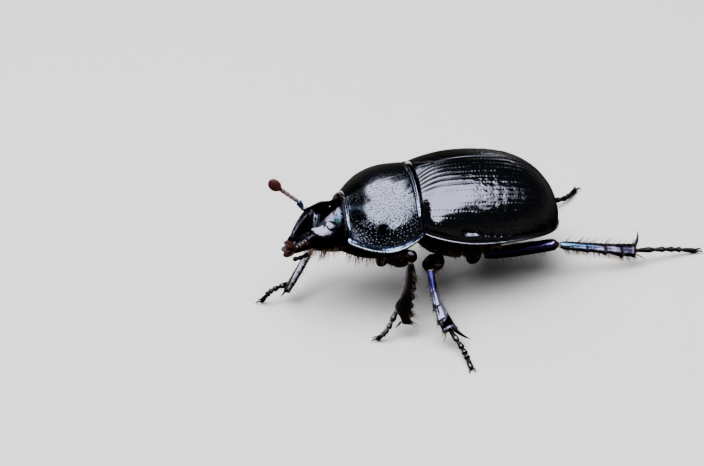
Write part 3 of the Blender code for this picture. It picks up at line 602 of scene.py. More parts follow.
def wing_case(side, sign):
    rows, columns = 400, 260
    t = np.minimum(np.sin(0.5 * math.pi * np.linspace(0, 1, rows))[:, None], 0.99995)
    share = 1 - (1 - np.linspace(0, 1, columns)[None, :]) ** 1.5
    surface = elytra_points(t, inner_edge_angle(t) * (1 - share))
    run = row_run(surface)
    reach = np.maximum(run[:, -1:], 1e-6)
    across = run / reach
    normals = outward_normals(surface, [0, 4.4, -1.0])
    y = surface[..., 1]
    # The furrows bend smoothly round the tip of the scutellum instead of turning a corner there.
    ahead, slope, ease = SCUTELLUM_LENGTH - y, SCUTELLUM_HALF_WIDTH / SCUTELLUM_LENGTH, 1.0
    curve = (ease + ahead) ** 2 / (4 * ease) - np.maximum(0, ahead)
    eased = slope * np.where(np.abs(ahead) < ease, curve, 0)
    striped = (run - eased) / np.maximum(reach - eased, 0.5)
    relief = elytron_relief(t, across, striped, reach, reach - run, 1.0 if sign > 0 else 0.1)
    relief += elytron_wrinkles(run, y, across)
    surface = surface + normals * ((relief + SURFACE_LIFT) * ramp(reach, 0.3, 1.6))[..., None]
    # The side margin flares out, widest a little before the middle.
    surface[..., 0] += 0.07 * bell(t - 0.38, 0.24) * bell(reach - run, 0.26)
    surface[..., 0] = np.maximum(surface[..., 0], SUTURE_GAP)
    sheet = elytron_walls(surface, t[:, 0])
    grain = np.stack([run, y, 0 * y], axis=-1)
    grain = np.pad(grain, ((1, 0), (1, len(ELYTRON_LIPS)), (0, 0)), mode="edge")
    tone = np.zeros(sheet.shape)
    tone[:, -MARGIN_COLUMNS:] += [0.016, 0.016, 0.040]
    # Painted shade: the furrows near the base are darkened, and on the far side the whole base is darkened.
    strip = np.abs(((striped * STRIAE_SPAN + FIRST_STRIA) % 1.0) - 0.5)
    dark = ramp(strip, 0.08, 0.30) * fall(across, 0.37, 0.45) * fall(y, 2.2, 4.6)
    if sign < 0:
        dark = np.maximum(dark, fall(y, 1.6, 3.2))
    tone[1:, 1 : -len(ELYTRON_LIPS)] -= dark[..., None] * FURROW_SHADE_PAINT
    piece = Piece()
    piece.grid(sheet * [sign, 1.0, 1.0], tone=tone, grain=grain)
    edge = surface[4:-3:6, -1] + [0.035, 0.0, -0.03]
    along = np.linspace(0.02, 0.985, BEAD_POINTS)
    size = 0.095 * np.sin(math.pi * along) ** 0.35 * (1 - 0.35 * along)
    # Painted highlight: the margin's bead is made pale, brightest at the front and fading towards the tail.
    bead_highlight_paint = np.array([0.17, 0.17, 0.19]) - np.array([0.12, 0.12, 0.06]) * ramp(along, 0.45, 0.75)[:, None]
    bead = smooth_path(edge * [sign, 1.0, 1.0], BEAD_POINTS)
    piece.tube(bead, size, size, (0, 0, 1), 18, tone=bead_highlight_paint[:, None])
    piece.finish(f"wing_case_{side}", BLACK_SHELL, f"elytron_{side}", "black_plate")


def scutellum():
    rows, columns = 60, 50
    share = np.linspace(0, 1, rows)[:, None]
    y = -0.10 + share * (SCUTELLUM_LENGTH + 0.02)
    half = np.maximum(0.01, (SCUTELLUM_HALF_WIDTH - 0.01) * np.maximum(0, 1 - share) ** 0.92)
    lateral = np.linspace(1, -1, columns)[None, :]
    t = np.clip(y, 0, None) / ELYTRA_LENGTH
    x = half * lateral
    z = margin_level(t) + elytra_rise(t) + 0.015
    z = z - 0.085 * x**2 - 0.06 * np.abs(lateral) ** 8 + 0.02 * bell(share - 0.35, 0.25)
    z -= 0.014 * bell(x, 0.05) * ramp(share, 0.1, 0.5)
    surface = np.stack([x, y + 0 * x, z], axis=-1)
    surface[..., 2] += 0.002 * wavy(surface, 9.0, 5)
    wall = [0.0, 0.0, -0.3]
    piece = Piece()
    sheet = np.concatenate([surface[:, :1] + wall, surface, surface[:, -1:] + wall], axis=1)
    piece.grid(sheet, tone=(-0.06, -0.06, -0.07))
    piece.finish("scutellum_plate", BLACK_SHELL, "scutellum", "black_plate")


# ---------------------------------------------------------------- forebody plate


def pronotum_half_width(v):
    front = np.clip((PRONOTUM_WIDEST - v) / PRONOTUM_WIDEST, 0, 1)
    rear = np.clip((v - PRONOTUM_WIDEST) / (1 - PRONOTUM_WIDEST), 0, 1)
    narrow = (PRONOTUM_HALF_WIDTH - PRONOTUM_FRONT_HALF_WIDTH) * front**2
    return PRONOTUM_HALF_WIDTH - narrow - (PRONOTUM_HALF_WIDTH - PRONOTUM_REAR_HALF_WIDTH) * rear**2


def pronotum_points(v, angle):
    half = pronotum_half_width(v)
    rise = PRONOTUM_FRONT_RISE + (PRONOTUM_REAR_RISE - PRONOTUM_FRONT_RISE) * np.sin(v * math.pi / 2)
    level = -0.137 * (1 - v) - 0.295 * np.sin(math.pi * v)
    cosine, sine = np.cos(angle), np.maximum(0.0, np.sin(angle))
    power = PRONOTUM_SECTION_POWER - FRONT_ROUNDING * (1 - v) ** 2
    x = half * signed_power(cosine, 2 / power)
    z = level + rise * sine ** (2 / power)
    out = np.abs(x) / half
    y = -PRONOTUM_LENGTH * (1 - v) - FRONT_CORNER_REACH * (1 - v) * out**2 - REAR_CORNER_REACH * v * out**3
    points = np.stack([x, y + 0 * x, z], axis=-1)
    return TILT_PIVOT + (points - TILT_PIVOT) @ PRONOTUM_TURN.T


def punch(surface, normals, centres, radii, depths):
    """Presses round pits with faint raised rims into a sheet of points."""
    flat = surface.reshape(-1, 3)
    relief = np.zeros(len(flat))
    tree = kdtree.KDTree(len(flat))
    for i, point in enumerate(flat):
        tree.insert(point, i)
    tree.balance()
    for centre, radius, depth in zip(centres, radii, depths):
        for _, i, distance in tree.find_range(centre, radius * 1.7):
            share = distance / radius
            rim = 0.25 * math.exp(-(((share - 1.15) / 0.3) ** 2))
            relief[i] += depth * (rim - math.exp(-((share / 0.62) ** 2)))
    return surface + normals * relief.reshape(surface.shape[:2])[..., None]


def spaced(candidates, gap, limit):
    """Keeps candidates that lie at least gap from those kept before."""
    kept = np.zeros((0, 3))
    order = []
    for i, point in enumerate(candidates):
        if len(kept) and np.min(np.sum((kept - point) ** 2, axis=1)) < gap * gap:
            continue
        kept = np.vstack([kept, point])
        order.append(i)
        if len(order) == limit:
            break
    return np.array(order)


PRONOTUM_ROWS, PRONOTUM_COLUMNS = 340, 540
PRONOTUM_RUN = 4.6  # mm from the front edge to the rear one, over the plate
PRONOTUM_LIPS = ((0.015, 0.10), (0.10, 0.17), (0.55, 0.20), (1.15, 0.12))  # how far inward, how far down
PIT_PLACE = (0.45, 1.04)  # v, and the angle from the crown
PIT_FOOT = (0.45, 1.26)
HOLLOW_PLACE = (0.86, 0.75)
PUNCTURE_TRIES, PUNCTURE_LIMIT, PUNCTURE_GAP = 6000, 1000, 0.165
RIM_BLUE = np.array([-0.03, 0.02, 0.15])
PLATE_SHADE_PAINT = np.array([0.100, 0.103, 0.123])
BEAD_HIGHLIGHT_PAINT = np.array([0.16, 0.19, 0.17])


def distance_from(surface, place, sign):
    """How far each point is from a place on one side of the plate."""
    spot = pronotum_points(np.array(place[0]), np.array(math.pi / 2 - sign * place[1]))
    return np.linalg.norm(surface - spot, axis=-1)


def pronotum_relief(surface, v, run, gaps):
    """Relief in mm, and the shares of coarse pitting and of sunken side pit at each point."""
    relief = np.zeros_like(run)
    for gap, height, width in zip(gaps, (0.075, 0.045, 0.045), (0.090, 0.050, 0.060)):
        relief += height * bell(gap, width) - height * 0.8 * bell(gap - 2.4 * width, width * 0.9)
    relief += 0.085 * bell(gaps[0] - 1.50, 0.50) * bell(v - 0.54, 0.30)
    centre_line = run - run[:, -1:] / 2
    relief -= 0.008 * bell(centre_line, 0.05) * ramp(v, 0.45, 0.7) * fall(v, 0.88, 0.96)
    pitted, sunk = np.ones_like(run), np.zeros_like(run)
    for sign in (1.0, -1.0):
        hole, below = distance_from(surface, PIT_PLACE, sign), distance_from(surface, PIT_FOOT, sign)
        relief -= 0.10 * bell(hole, 0.32) + 0.06 * bell(below, 0.50)
        relief -= 0.05 * bell(hole, 0.13)
        relief -= 0.03 * bell(distance_from(surface, HOLLOW_PLACE, sign), 0.45)
        pitted = pitted * ramp(hole, 0.25, 0.5)
        sunk = sunk + bell(hole, 0.44) * (1 - 0.9 * bell(below, 0.10))
    lateral = np.abs(centre_line) * 2 / run[:, -1:]
    coarse = ramp(lateral + 0.15 * np.abs(v - 0.5), 0.48, 0.72) * pitted
    relief += 0.004 * coarse * wavy(surface, 7.0, 31)
    return relief, coarse, sunk, lateral


def pronotum_walls(surface):
    """Adds the walls under both side margins and inside both ends."""
    left = [surface[:, 0] - [inward, 0.0, drop] for inward, drop in reversed(PRONOTUM_LIPS)]
    right = [surface[:, -1] - [-inward, 0.0, drop] for inward, drop in PRONOTUM_LIPS]
    sheet = np.concatenate([np.stack(left, axis=1), surface, np.stack(right, axis=1)], axis=1)
    ends = []
    for row, step in ((0, 0.10), (-1, -0.04)):
        middle = sheet[row].mean(axis=0)
        ends.append((middle + (sheet[row] - middle) * [0.93, 1.0, 0.86] + [0.0, step, 0.0])[None])
    return np.concatenate([ends[0], sheet, ends[1]], axis=0)


def pronotum_tone(v, angle, gaps, lateral, sunk):
    """Blue rims and flanks, beads made pale as painted highlights, and painted shade darkening the front
    third and the side pits.
    """
    side_gap, front_gap, rear_gap = gaps
    rim = 0.8 * bell(side_gap, 0.26) + 0.7 * bell(front_gap, 0.12) + 0.7 * bell(rear_gap, 0.12)
    rim = np.clip(rim + 0.10 * ramp(lateral, 0.66, 0.95), 0, 1)
    tone = rim[..., None] * RIM_BLUE
    # Painted shade: the front third and the side pits are darkened.
    flat_angle = np.minimum(angle, math.pi - angle)
    painted_dark = fall(v - 0.27 - 0.30 * (flat_angle - 1.0) ** 2, -0.05, 0.03)
    painted_dark = painted_dark * ramp(flat_angle, 0.60, 0.85) * ramp(front_gap, 0.15, 0.35) + np.clip(1.2 * sunk, 0, 1)
    tone -= painted_dark[..., None] * PLATE_SHADE_PAINT
    # Painted highlight: the beads along the rims are made pale.
    bead = np.clip(bell(side_gap, 0.12) + bell(front_gap, 0.065) + bell(rear_gap, 0.08), 0, 1)
    return tone + bead[..., None] * BEAD_HIGHLIGHT_PAINT


def pronotum_punctures(surface, normals, coarse, gaps):
    """Pits pressed at random where the coarse share is high, clear of the rims."""
    rows, columns = surface.shape[:2]
    side_gap, front_gap, rear_gap = gaps
    picks = RNG.integers([6, 8], [rows - 6, columns - 8], size=(PUNCTURE_TRIES, 2))
    clear = coarse**1.5 * (side_gap > 0.33) * (front_gap > 0.24) * (rear_gap > 0.24)
    picks = picks[RNG.random(len(picks)) < clear[picks[:, 0], picks[:, 1]]]
    picks = picks[spaced(surface[picks[:, 0], picks[:, 1]], PUNCTURE_GAP, PUNCTURE_LIMIT)]
    share = coarse[picks[:, 0], picks[:, 1]]
    radii = 0.034 + 0.020 * share + RNG.uniform(-0.008, 0.010, len(picks))
    depths = (0.010 + 0.032 * share) * RNG.uniform(0.5, 1.3, len(picks))
    return punch(surface, normals, surface[picks[:, 0], picks[:, 1]], radii, depths)


def pronotum():
    v = np.linspace(0, 1, PRONOTUM_ROWS)[:, None]
    even = np.linspace(0, 1, PRONOTUM_COLUMNS)[None, :]
    angle = math.pi * (0.5 - 0.5 * np.cos(math.pi * even)) * 0.35 + math.pi * even * 0.65
    surface = pronotum_points(v, angle)
    corners = bell(angle - 0.38, 0.28) + bell(math.pi - 0.38 - angle, 0.28)
    surface[..., 1] += 0.13 * (1 - v) ** 4 * corners
    normals = outward_normals(surface, surface.mean(axis=(0, 1)) - [0, 0, 2.0])
    dome = 0.23 * np.sin(math.pi * v**0.9) ** 1.5 * ramp(np.sin(angle), 0.0, 0.75)
    surface = surface + normals * (dome - 0.11 * v**5 * np.sin(angle) ** 1.5)[..., None]
    run = row_run(surface)
    side_gap = np.minimum(run, run[:, -1:] - run)
    gaps = (side_gap, v * PRONOTUM_RUN + 0 * run, (1 - v) * PRONOTUM_RUN + 0 * run)
    relief, coarse, sunk, lateral = pronotum_relief(surface, v, run, gaps)
    surface = surface + normals * (relief + SURFACE_LIFT)[..., None]
    surface[..., 1] += 0.10 * v**6
    surface = pronotum_punctures(surface, normals, coarse, gaps)
    sheet = pronotum_walls(surface)
    wall = len(PRONOTUM_LIPS)
    grain = np.stack([run, PRONOTUM_RUN * v + 0 * run, 0 * run], axis=-1)
    grain = np.pad(grain, ((1, 1), (wall, wall), (0, 0)), mode="edge")
    tone = np.zeros(sheet.shape)
    tone[1:-1, wall:-wall] = pronotum_tone(v, angle, gaps, lateral, sunk)
    piece = Piece()
    piece.grid(sheet, tone=tone, grain=grain)
    # The side beads are tubes painted pale as painted highlights.
    for column, sign in ((0, 1.0), (-1, -1.0)):
        edge = smooth_path(surface[4:-3:8, column] + [sign * 0.02, 0.0, -0.02], 160)
        size = 0.115 * np.sin(math.pi * np.linspace(0.05, 0.95, 160)) ** 0.4
        piece.tube(edge, size, size, (0, 0, 1), tone=(0.17, 0.22, 0.26))
    piece.finish("forebody_plate", BLUE_SHELL, "pronotum", "blue_plate")


for case_side, case_sign in (("left", 1.0), ("right", -1.0)):
    wing_case(case_side, case_sign)
scutellum()
pronotum()


# ---------------------------------------------------------------- trunk

TRUNK_SHARE = 0.865
DOME_MIDDLE = 0.45 * ELYTRA_LENGTH
BELLY_POWER = 1.5
BELLY_DEPTH = (  # t, mm below the margin
    (0, 2.30), (0.10, 2.75), (0.30, 2.85), (0.45, 2.70), (0.60, 1.95), (0.80, 1.10), (0.95, 0.60), (1, 0.35),
)
STERNITE_EDGES = (0.50, 0.58, 0.665, 0.75, 0.83, 0.91)


def trunk_part(name, node, start, end, rows, relief):
    t = np.linspace(start, end, rows)[:, None]
    y = DOME_MIDDLE + (t * ELYTRA_LENGTH - DOME_MIDDLE) * TRUNK_SHARE
    half, level = elytra_half_width(t) * TRUNK_SHARE, margin_level(t)
    depth = np.interp(t, *zip(*BELLY_DEPTH))
    angle = math.pi * np.linspace(0, 1, 40)[None, :]
    cosine, sine = np.cos(angle), np.sin(angle)
    rise = elytra_rise(t) * TRUNK_SHARE * np.abs(sine) ** (2 / ELYTRA_SECTION_POWER)
    x = half * signed_power(cosine, 2 / ELYTRA_SECTION_POWER)
    upper = np.stack([x, y + 0 * rise, level + rise], -1)
    angle = math.pi * np.linspace(1, 0, 180)[None, 1:-1]
    cosine, sine = np.cos(angle), np.sin(angle)
    outward = relief(t, cosine)
    x = (half * 0.96 + outward) * signed_power(cosine, 2 / BELLY_POWER)
    z = level - 0.12 - (depth + outward) * sine ** (2 / BELLY_POWER)
    rings = np.concatenate([upper, np.stack([x, y + 0 * x, z], -1)], axis=1)
    closed_piece(name, rings, BELLY_SHELL, node, "underside")


def sternite_relief(t, lateral):
    """Each belly plate rises towards its hind edge and drops to the next."""
    steps = np.zeros_like(t + lateral)
    for edge in STERNITE_EDGES:
        gap = t - edge - 0.012 * lateral**2
        steps += 0.075 * np.where(gap < 0, np.exp(gap / 0.045), -0.9 * np.exp(-gap / 0.010))
    return steps


def breast_relief(t, lateral):
    groove = -0.10 * bell(lateral, 0.05) * ramp(t, 0.08, 0.2)
    seams = -0.08 * bell(t - 0.10 - 0.10 * np.abs(lateral), 0.010)
    seams = seams - 0.10 * bell(t - 0.36 + 0.1 * lateral**2, 0.012)
    return groove + seams + 0.05 * bell(t - 0.25, 0.12)


CHEST_DEPTH = ((0.0, 1.6), (0.25, 2.0), (0.6, 2.25), (0.85, 2.15), (1.0, 2.1))  # v, mm below the margin


def chest_power(v):
    return 1.15 + 0.75 * (1 - v)


def forebody_underside():
    v = np.linspace(0.03, 0.97, 110)[:, None]
    left, right = pronotum_points(v, 0 * v), pronotum_points(v, 0 * v + math.pi)
    middle, half = (left + right) / 2, (left - right) * 0.5 * 0.87
    drop = np.array([0, 0, -0.09])
    upper = middle + drop + half * np.linspace(1, -1, 24)[None, :, None]
    angle = math.pi * np.linspace(1, 0, 160)[None, 1:-1]
    power = chest_power(v)
    x = 0.98 * signed_power(np.cos(angle), 2 / power)
    depth = np.interp(v, *zip(*CHEST_DEPTH))
    depth = depth + 0.05 * bell(v - 0.5, 0.10) - 0.09 * bell(v - 0.78, 0.03) + 0.03 * np.sin(9 * v + 4 * x)
    z = -depth * np.sin(angle) ** (2 / power)
    lower = middle + drop * 1.6 + half * x[..., None] + np.stack([0 * z, 0 * z, z], -1)
    rings = np.concatenate([upper, lower], axis=1)
    closed_piece("forebody_underside", rings, BELLY_SHELL, "prosternum", "underside")


# ---------------------------------------------------------------- head

# From the neck to the lip: crown y and z, half width, rim y and z, throat y and z.
HEAD_SECTIONS = (
    (-4.58, 0.28, 1.85, -4.58, -0.95, -4.58, -2.60),
    (-5.10, 0.16, 1.90, -5.10, -0.98, -5.05, -2.80),
    (-5.55, -0.02, 1.86, -5.55, -1.05, -5.50, -2.86),
    (-6.00, -0.22, 2.00, -6.00, -1.14, -5.90, -2.82),
    (-6.45, -0.48, 1.90, -6.42, -1.26, -6.30, -2.68),
    (-6.85, -0.87, 1.60, -6.82, -1.46, -6.65, -2.54),
    (-7.25, -1.50, 1.25, -7.20, -1.98, -6.95, -2.48),
    (-7.52, -2.05, 0.84, -7.46, -2.36, -7.28, -2.58),
    (-7.60, -2.36, 0.50, -7.56, -2.46, -7.46, -2.60),
)
HEAD_STATIONS = np.column_stack([np.arange(9.0), HEAD_SECTIONS])
HEAD_BUMPS = ((0.22, -6.38), (0.52, -6.30), (0.70, -6.58), (0.92, -6.46))
HEAD_PITS = 620
EYE_CENTRE = np.array([1.62, -5.46, -0.83])
EYE_RADII = np.array([0.40, 0.50, 0.56])
CHEEK_RADII = (0.72, 0.58, 0.17)
CHEEK_PLACES = {"left": (1.82, -5.98, -0.85), "right": (-1.72, -5.98, -0.98)}


def head_surface(section, angle):
    """section runs 0 to 8 from the neck to the lip edge; angle 0 is the left rim, pi / 2 the crown."""
    crown_y, crown_z, half, rim_y, rim_z, _, _ = np.moveaxis(table(HEAD_STATIONS, section), -1, 0)
    sine = np.sin(angle)
    x = half * np.cos(angle)
    return np.stack([x, rim_y + (crown_y - rim_y) * sine, rim_z + (crown_z - rim_z) * sine], -1)


def head_underside(section, angle):
    _, _, half, rim_y, rim_z, throat_y, throat_z = np.moveaxis(table(HEAD_STATIONS, section), -1, 0)
    sine = np.abs(np.sin(angle)) ** 0.8
    x = -half * 0.86 * np.cos(angle)
    y = rim_y + (throat_y - rim_y) * sine
    return np.stack([x, y, rim_z - 0.1 + (throat_z - rim_z + 0.1) * sine], -1)


def head_relief(surface, section, rim_gap, ahead):
    x, y = surface[..., 0], surface[..., 1]
    # The raised rims at the sides and the lip, with a groove behind each.
    relief = 0.075 * bell(rim_gap, 0.09) * ahead - 0.05 * bell(rim_gap - 0.24, 0.10) * ahead
    relief += 0.05 * bell(section - 7.7, 0.16) - 0.04 * bell(section - 7.25, 0.2)
    # The arched seam behind the clypeus and the knob in its middle.
    arch = y + 6.28 + 0.22 * np.abs(x)
    relief += 0.06 * bell(arch, 0.09) * fall(np.abs(x), 1.2, 1.6) - 0.035 * bell(arch - 0.20, 0.07)
    relief += 0.13 * bell(np.hypot(x, y + 6.62), 0.16)
    # The nape's groove, the low temples and the small bumps.
    relief -= 0.05 * bell(y + 5.15, 0.12)
    relief += 0.05 * bell(np.hypot(np.abs(x) - 0.85, y + 6.0), 0.35)
    for bump_x, bump_y in HEAD_BUMPS:
        relief += 0.050 * bell(np.hypot((np.abs(x) - bump_x) / 1.3, y - bump_y), 0.11)
    return relief + 0.022 * wavy(surface, 2.6, 22) * (1 - bell(section - 0.8, 0.9) * (np.abs(x) > 0.7))


def head_tone(x, y, rim_gap, ahead):
    tone = np.zeros(x.shape + (3,))

    def tint(share, colour):
        tone[:] = tone + share[..., None] * np.asarray(colour)

    # Painted reflection on the temples: a three-cornered patch, lilac above, light blue in its middle, teal
    # at the eye.
    inner_gap = (np.abs(x) - 0.46) * 0.78 + (y + 4.88) * 0.62
    temple_highlight = ramp(inner_gap, -0.04, 0.12) * ramp(-4.74 - y, 0.0, 0.10) * fall(-5.74 - y, 0.0, 0.12)
    temple_highlight *= 1 - ramp(np.abs(x), 1.58, 1.70) * ramp(y, -5.20, -5.05)
    teal = np.clip(1.6 * bell(np.hypot(np.abs(x) - 1.57, y + 5.12), 0.21), 0, 1)[..., None]
    middle = ramp(inner_gap, 0.10, 0.55)[..., None]
    temple_highlight_colour = [0.100, 0.090, 0.125] + middle * [-0.045, 0.005, 0.020]
    tint(temple_highlight, temple_highlight_colour * (1 - teal) + teal * [0.0, 0.016, 0.010])
    # Painted shade darkens the forehead between them, and a painted glint sits on the crown.
    tint(fall(inner_gap, -0.10, 0.0) * ramp(y, -6.30, -6.10) * (1 - temple_highlight), [-0.02] * 3)
    tint(bell(np.hypot(x - 0.10, y + 5.35), 0.08), [0.15] * 3)
    # Painted highlights: a pale line down the clypeus, a soft patch beside the seam on the left side, and
    # pale side rims.
    tint(bell(x + 0.24, 0.15) * ramp(-6.30 - y, 0.0, 0.15), [0.26, 0.23, 0.30])
    tint(bell(np.hypot((np.abs(x) - 0.62) / 0.34, (y + 6.34) / 0.20), 1.0) * (x > 0), [0.12, 0.12, 0.15])
    tint(bell(rim_gap, 0.12) * ahead, [0.12, 0.11, 0.15])
    return tone


def skull():
    rows, columns = 240, 300
    section = np.linspace(0, 8, rows)[:, None]
    surface = head_surface(section, math.pi * np.linspace(0, 1, columns)[None, :])
    normals = outward_normals(surface, [0, -5.9, -1.6])
    x, y = surface[..., 0], surface[..., 1]
    run = row_run(surface)
    rim_gap = np.minimum(run, run[:, -1:] - run)
    ahead = ramp(section, 2.8, 3.4)
    surface = surface + normals * head_relief(surface, section, rim_gap, ahead)[..., None]
    centres, radii, depths = [], [], []
    for _ in range(HEAD_PITS):
        i, j = RNG.integers(4, rows - 6), RNG.integers(6, columns - 6)
        centres.append(surface[i, j])
        radii.append(RNG.uniform(0.045, 0.075))
        depths.append(RNG.uniform(0.008, 0.018))
    surface = punch(surface, normals, centres, radii, depths)
    surface += normals * (0.003 * wavy(surface, 12.0, 21))[..., None]
    under = head_underside(section, math.pi * np.linspace(0, 1, 120)[None, :])
    sheet = np.concatenate([surface, under], axis=1)
    under_tone = np.zeros(under.shape) + [0.006, 0.004, 0.004]
    tone = np.concatenate([head_tone(x, y, rim_gap, ahead), under_tone], axis=1)
    # The nape flares up to the front edge of the forebody plate and runs on beneath it.
    collar = math.pi * np.linspace(0, 1, columns)
    collar = pronotum_points(0.0 * collar, collar)
    middle = collar.mean(axis=0)
    flared = middle + (collar - middle) * 0.965 + [0.0, -0.07, 0.0]
    flared = flared[None] + section[..., None] * [0.0, -0.42, 0.0]
    share = fall(section, 0.0, 0.75)[..., None]
    sheet[:, :columns] = sheet[:, :columns] * (1 - share) + flared * share
    neck = sheet[0] + [0.0, 0.45, 0.0]
    neck[:columns] = middle + (collar - middle) * 0.93 + [0.0, 0.38, 0.0]
    sheet = np.concatenate([neck[None], sheet], axis=0)
    tone = np.concatenate([tone[:1] * 0.0, tone], axis=0)
    closed_piece("skull", sheet, HEAD_SHELL, "head", "head_plate", tone)


def eyes_and_cheeks():
    for side, sign in (("left", 1.0), ("right", -1.0)):
        piece = Piece()
        turn = axes_of((sign * 0.74, -0.10, 0.66), (0, 1, 0))
        blob(piece, EYE_CENTRE * [sign, 1, 1], EYE_RADII, turn, rows=64, columns=90)
        piece.finish(f"eye_{side}_facets", EYE_GLASS, f"eye_{side}", "eye")
        turn = axes_of((sign * 0.10, 1.0, 0.0), (sign * 0.62, -0.12, 0.76))
        facing = np.sign(sign * turn[1][0])

        def lobe(shape):
            """Pointed in front, cut away on the inside, with two notches there."""
            ahead, out = shape[..., 0], shape[..., 1] * facing
            front, inside = np.clip(-ahead, 0, 1), np.clip(-out, 0, 1)
            pointed = (1 + 0.22 * front**4 + 0.08 * ahead) * (1 - 0.34 * inside**2) - 0.80 * front * inside
            notches = bell(ahead - 0.10, 0.06) + bell(ahead - 0.42, 0.05)
            return pointed - 0.22 * notches * np.clip(-out * 2, 0, 1)

        piece = Piece()
        blob(piece, CHEEK_PLACES[side], CHEEK_RADII, turn, tone=(0.03, 0.03, 0.04), relief=lobe)
        piece.finish(f"canthus_{side}", CHEEK_SHELL, "head", "head_plate")


JAW_LINE = ((1.02, -6.45, -2.10), (1.0, -6.95, -2.36), (0.78, -7.42, -2.70), (0.32, -7.72, -2.94))
PALP_LINE = ((0.62, -6.55, -3.12), (0.66, -7.05, -3.36), (0.62, -7.56, -3.52))


def mouth():
    for side, sign in (("left", 1.0), ("right", -1.0)):
        path = smooth_path(JAW_LINE * np.array([sign, 1.0, 1.0]), 28)
        share = np.linspace(0, 1, 28)
        widths = table(((0, 0.34), (0.5, 0.33), (0.85, 0.24), (1, 0.08)), share)
        depths = table(((0, 0.32), (0.5, 0.25), (0.85, 0.16), (1, 0.05)), share)
        tone = np.array([0.03, 0.012, 0.006]) * share[:, None, None]
        rings = tube_grid(path, widths, depths, (1, 0, 0), 26, 2.4)
        closed_piece(f"jaw_{side}", rings, HEAD_SHELL, f"mandible_{side}", "head_plate", tone)
        path = smooth_path(PALP_LINE * np.array([sign, 1.0, 1.0]), 40)
        share = np.linspace(0, 1, 40)
        beads = np.abs(np.sin(math.pi * (share * 3.0))) ** 0.35
        radii = (0.085 + 0.055 * beads) * (1 + 0.15 * share)
        radii[-3:] *= (0.85, 0.6, 0.25)
        rings = tube_grid(path, radii, radii, (1, 0, 0), 18)
        tone = (0.01, 0.0, 0.0)
        closed_piece(f"palp_{side}_beads", rings, LEG_SHELL, f"palp_{side}", "antenna_stalk", tone)
    share = np.linspace(0, 1, 20)[:, None]
    lateral = np.linspace(1, -1, 40)[None, :]
    half = table(((0, 0.50), (0.5, 0.53), (0.85, 0.46), (1, 0.38)), share[:, 0])[:, None]
    y = -7.66 - 0.22 * share + 0.10 * np.abs(lateral) + 0.05 * bell(lateral, 0.2) * share
    x = half * lateral
    thick = 0.10 * np.sqrt(np.maximum(0.02, 1 - 0.8 * lateral**4)) * (1 - 0.55 * share**3)
    level = -2.53 - 0.07 * share
    top = np.stack([x, y, level + thick], -1)
    low = np.stack([x, y, level - thick], -1)[:, ::-1]
    rings = np.concatenate([top, low], axis=1)
    closed_piece("upper_lip", rings, HEAD_SHELL, "labrum", "antenna_stalk", (0.03, 0.012, 0.010))


# ---------------------------------------------------------------- feelers

ANTENNA_PATHS = {
    "left": ((1.95, -6.62, -1.18), (2.05, -6.98, -1.46), (2.10, -7.36, -1.74), (2.10, -7.72, -2.00)),
    "right": ((-2.02, -6.60, -1.22), (-2.30, -6.91, -0.79), (-2.70, -7.42, -0.54), (-3.10, -7.92, -0.31)),
}
CLUB_AXIS = {"left": (0.06, -0.98, -0.10), "right": (-0.36, -0.81, 0.46)}
CLUB_LAYER = {"left": (0.25, -0.10, 0.96), "right": (0.88, -0.30, 0.36)}
CLUB_FAN = {"left": math.radians(24), "right": math.radians(5)}
CLUB_STEP = {"left": 0.18, "right": 0.16}
CLUB_RADII = {"left": (0.43, 0.34, 0.125), "right": (0.465, 0.36, 0.130)}
SCAPE_SHARE = 0.28
# Painted light on the scapes: the right one is tinted blue as a painted highlight, the left one darkened as
# painted shade.
SCAPE_LIGHT_PAINT = {"left": (-0.02, -0.02, -0.03), "right": (0.0, 0.07, 0.15)}
# Painted light: the right stalk is made lighter brown near its base, as if lit; the left one stays dark.
STALK_LIGHT_PAINT = {"left": (0.0, 0.0, 0.0), "right": (0.022, 0.010, 0.009)}


def feeler(side):
    count = 180
    along = unit(CLUB_AXIS[side])
    tip = np.array(ANTENNA_PATHS[side][-1])
    path = smooth_path((*ANTENNA_PATHS[side], tip + along * 0.22), count)
    share = np.linspace(0, 1, count)
    scape = share <= SCAPE_SHARE
    girth = ((0, 0.09), (0.25, 0.13), (0.7, 0.20), (0.92, 0.185), (1, 0.07))
    radii = table(girth, share[scape] / SCAPE_SHARE)
    rings = tube_grid(path[scape], radii, radii, (0.3, 0, 1), 26)
    node = f"antenna_stalk_{side}"
    closed_piece(f"scape_{side}", rings, VIOLET_SHELL, node, "antenna_stalk", SCAPE_LIGHT_PAINT[side])
    rest = path[~scape]
    past = np.linspace(0, 1, len(rest))
    beads = np.abs(np.sin(math.pi * past * 6)) ** 0.6
    radii = (0.085 + 0.045 * beads) * (1 + 0.20 * past)
    tone = np.array(STALK_LIGHT_PAINT[side]) * fall(past, 0.5, 0.75)[:, None, None]
    rings = tube_grid(rest, radii, radii, (0.3, 0, 1), 26)
    closed_piece(f"feeler_{side}", rings, FEELER_SHELL, node, "antenna_stalk", tone)

    def cup(shape):
        return 1 + 0.05 * shape[..., 0] - 0.10 * bell(shape[..., 1], 0.4) * np.abs(shape[..., 2])

    layer = axes_of(along, CLUB_LAYER[side])[2]
    piece = Piece()
    for place in (-1, 0, 1):
        angle = place * CLUB_FAN[side]
        leaf_along = along * math.cos(angle) + layer * math.sin(angle)
        leaf_layer = layer * math.cos(angle) - along * math.sin(angle)
        reach = np.array(CLUB_RADII[side]) * (1.0, 1.0, 1.0 if place else 0.95)
        centre = tip + along * 0.10 + leaf_along * reach[0] + leaf_layer * place * CLUB_STEP[side]
        blob(piece, centre, reach, axes_of(leaf_along, leaf_layer), 44, 60, relief=cup)
    piece.finish(f"club_{side}", CLUB_VELVET, f"antenna_club_{side}", "antenna_club")


# ---------------------------------------------------------------- legs

